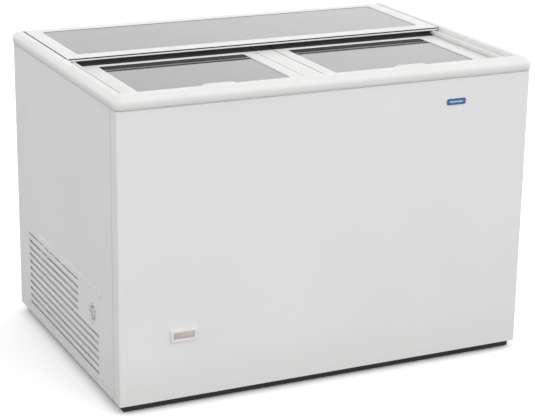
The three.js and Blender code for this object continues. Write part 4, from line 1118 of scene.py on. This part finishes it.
def foot(node):
    """A rubber foot: a wide pad, a waist with ribs and a flange under the base pan."""
    low, high = box(node)
    centre = ((low.x + high.x) / 2, (low.y + high.y) / 2)
    r = (high.x - low.x) / 2
    top = high.z
    profile = [(0, 1.2), (r - 9, 1.2), (r - 8, 0.0), (r - 1.6, 0.0), (r - 0.4, 0.8), (r, 2.4), (r - 0.5, 4.2)]
    for i in range(FOOT_RIBS):
        z = 6.0 + i * FOOT_RIB_PITCH
        profile += [(r - 3.2 - i, z), (r - 3.2 - i, z + 1.4), (r - 1.8 - i, z + 2.0), (r - 1.8 - i, z + 3.4)]
    profile += [(r - 4.2, top - 2.4), (r - 4.2, top), (0, top)]
    made = lathe(f"{node}_pad", profile, centre, "z", 48)
    return dress(made, "black_rubber", "cabinet", node, angle=30)


indicator()
badge()
for end in ("left", "right"):
    for face_name in ("front", "rear"):
        foot(f"{face_name}_{end}_foot")


# ---------------------------------------------------------------- CAD nodes that stay


SOFTENED = {
    "left_side_panel": 0.4, "right_side_panel": 0.4, "rear_panel": 0.3, "base_pan": 0.3,
    "machine_bay_cover": 0.3, "drain_plug": 0.5, "rear_lid_left_runner": 0.6, "rear_lid_right_runner": 0.6,
    "left_lid_glass": 0.4, "right_lid_glass": 0.4, "rear_lid_glass": 0.4, "compressor": 1.2,
    "compressor_tray": 0.5, "compressor_terminal_box": 2.5, "fan_shroud": 0.5, "fan_motor": 1.5,
    "fan_motor_strap": 0.5, "fan_blade": 0.4, "thermostat_body": 1.0, "cable_gland": 0.6,
}


def keep_node(name):
    """A CAD node that stays: its edges are softened if SOFTENED lists it, and it gets its finish."""
    shown = nodes[name]
    weld = shown.modifiers.new("weld", "WELD")
    weld.merge_threshold = 0.00002
    if name in SOFTENED:
        soften(shown, SOFTENED[name], 2, 32)
    shown.data.polygons.foreach_set("use_smooth", [True] * len(shown.data.polygons))
    weighted = shown.modifiers.new("weighted", "WEIGHTED_NORMAL")
    weighted.keep_sharp = True
    shown.data.materials.clear()
    shown.data.materials.append(finishes[slot_of_node[name]])


# The base pan keeps black_steel, whose dark tone partly paints the shade under the cabinet's bottom edge.
for name, shown in nodes.items():
    if not shown.hide_render:
        keep_node(name)


# ---------------------------------------------------------------- stage, light and camera


def floor():
    """A wide pale floor. It shows white to the camera, and throws back less light than it shows."""
    made = slab("studio_floor", (-FLOOR_REACH, -FLOOR_REACH, -FLOOR_T), (FLOOR_REACH, FLOOR_REACH, 0))
    surface = bpy.data.materials.new("studio_floor")
    surface.use_nodes = True
    tree = surface.node_tree
    tree.nodes.remove(tree.nodes["Principled BSDF"])
    matt = tree.nodes.new("ShaderNodeBsdfDiffuse")
    path = tree.nodes.new("ShaderNodeLightPath")
    bounced, shown, colour = colour_mix(tree, path.outputs["Is Camera Ray"])
    bounced.default_value = [FLOOR_BOUNCE] * 3 + [1.0]
    shown.default_value = [FLOOR_SHOWN] * 3 + [1.0]
    tree.links.new(colour, matt.inputs["Color"])
    tree.links.new(matt.outputs["BSDF"], tree.nodes["Material Output"].inputs["Surface"])
    made.data.materials.append(surface)


def studio():
    """Soft white surroundings, brightest in a band low round the horizon, in front and on the right."""
    world = bpy.data.worlds.new("studio")
    world.use_nodes = True
    tree = world.node_tree
    background = tree.nodes["Background"]
    background.inputs["Color"].default_value = (1.0, 1.0, 1.0, 1.0)
    direction = tree.nodes.new("ShaderNodeTexCoord")
    split = tree.nodes.new("ShaderNodeSeparateXYZ")
    tree.links.new(direction.outputs["Generated"], split.inputs["Vector"])

    def ramp(axis, ends, to_ends):
        return map_range(tree, split.outputs[axis], ends, to_ends, "SMOOTHSTEP")

    def product(first, second):
        made = tree.nodes.new("ShaderNodeMath")
        made.operation = "MULTIPLY"
        tree.links.new(first, made.inputs[0])
        tree.links.new(second, made.inputs[1])
        return made.outputs["Value"]

    height = ramp("Z", HEIGHT_RAMP, (HORIZON_LIGHT, OVERHEAD_LIGHT))
    depth = ramp("Y", DEPTH_RAMP, (FRONT_SHARE, REAR_SHARE))
    left = ramp("X", LEFT_RAMP, (LEFT_SHARE, 1.0))
    right = ramp("X", RIGHT_RAMP, (1.0, RIGHT_SHARE))
    strength = product(product(height, depth), product(left, right))
    tree.links.new(strength, background.inputs["Strength"])
    bpy.context.scene.world = world


def photo_camera():
    """The camera at the photograph's viewing angle."""
    yaw, pitch, roll = (math.radians(a) for a in (CAMERA_YAW, CAMERA_PITCH, CAMERA_ROLL))
    forward = Vector((math.sin(yaw) * math.cos(pitch), math.cos(yaw) * math.cos(pitch), -math.sin(pitch)))
    level = Vector((math.cos(yaw), -math.sin(yaw), 0.0))
    upright = level.cross(forward)
    right = level * math.cos(roll) + upright * math.sin(roll)
    up = upright * math.cos(roll) - level * math.sin(roll)
    data = bpy.data.cameras.new("photo_camera")
    data.lens = LENS
    data.sensor_width = SENSOR
    data.clip_end = 200.0
    camera = bpy.data.objects.new("photo_camera", data)
    camera.rotation_mode = "QUATERNION"
    camera.rotation_quaternion = Matrix((right, up, -forward)).transposed().to_quaternion()
    camera.location = CAMERA_PLACE
    bpy.context.scene.collection.objects.link(camera)
    bpy.context.scene.camera = camera


floor()
studio()
photo_camera()
bpy.context.scene.view_settings.view_transform = "Standard"
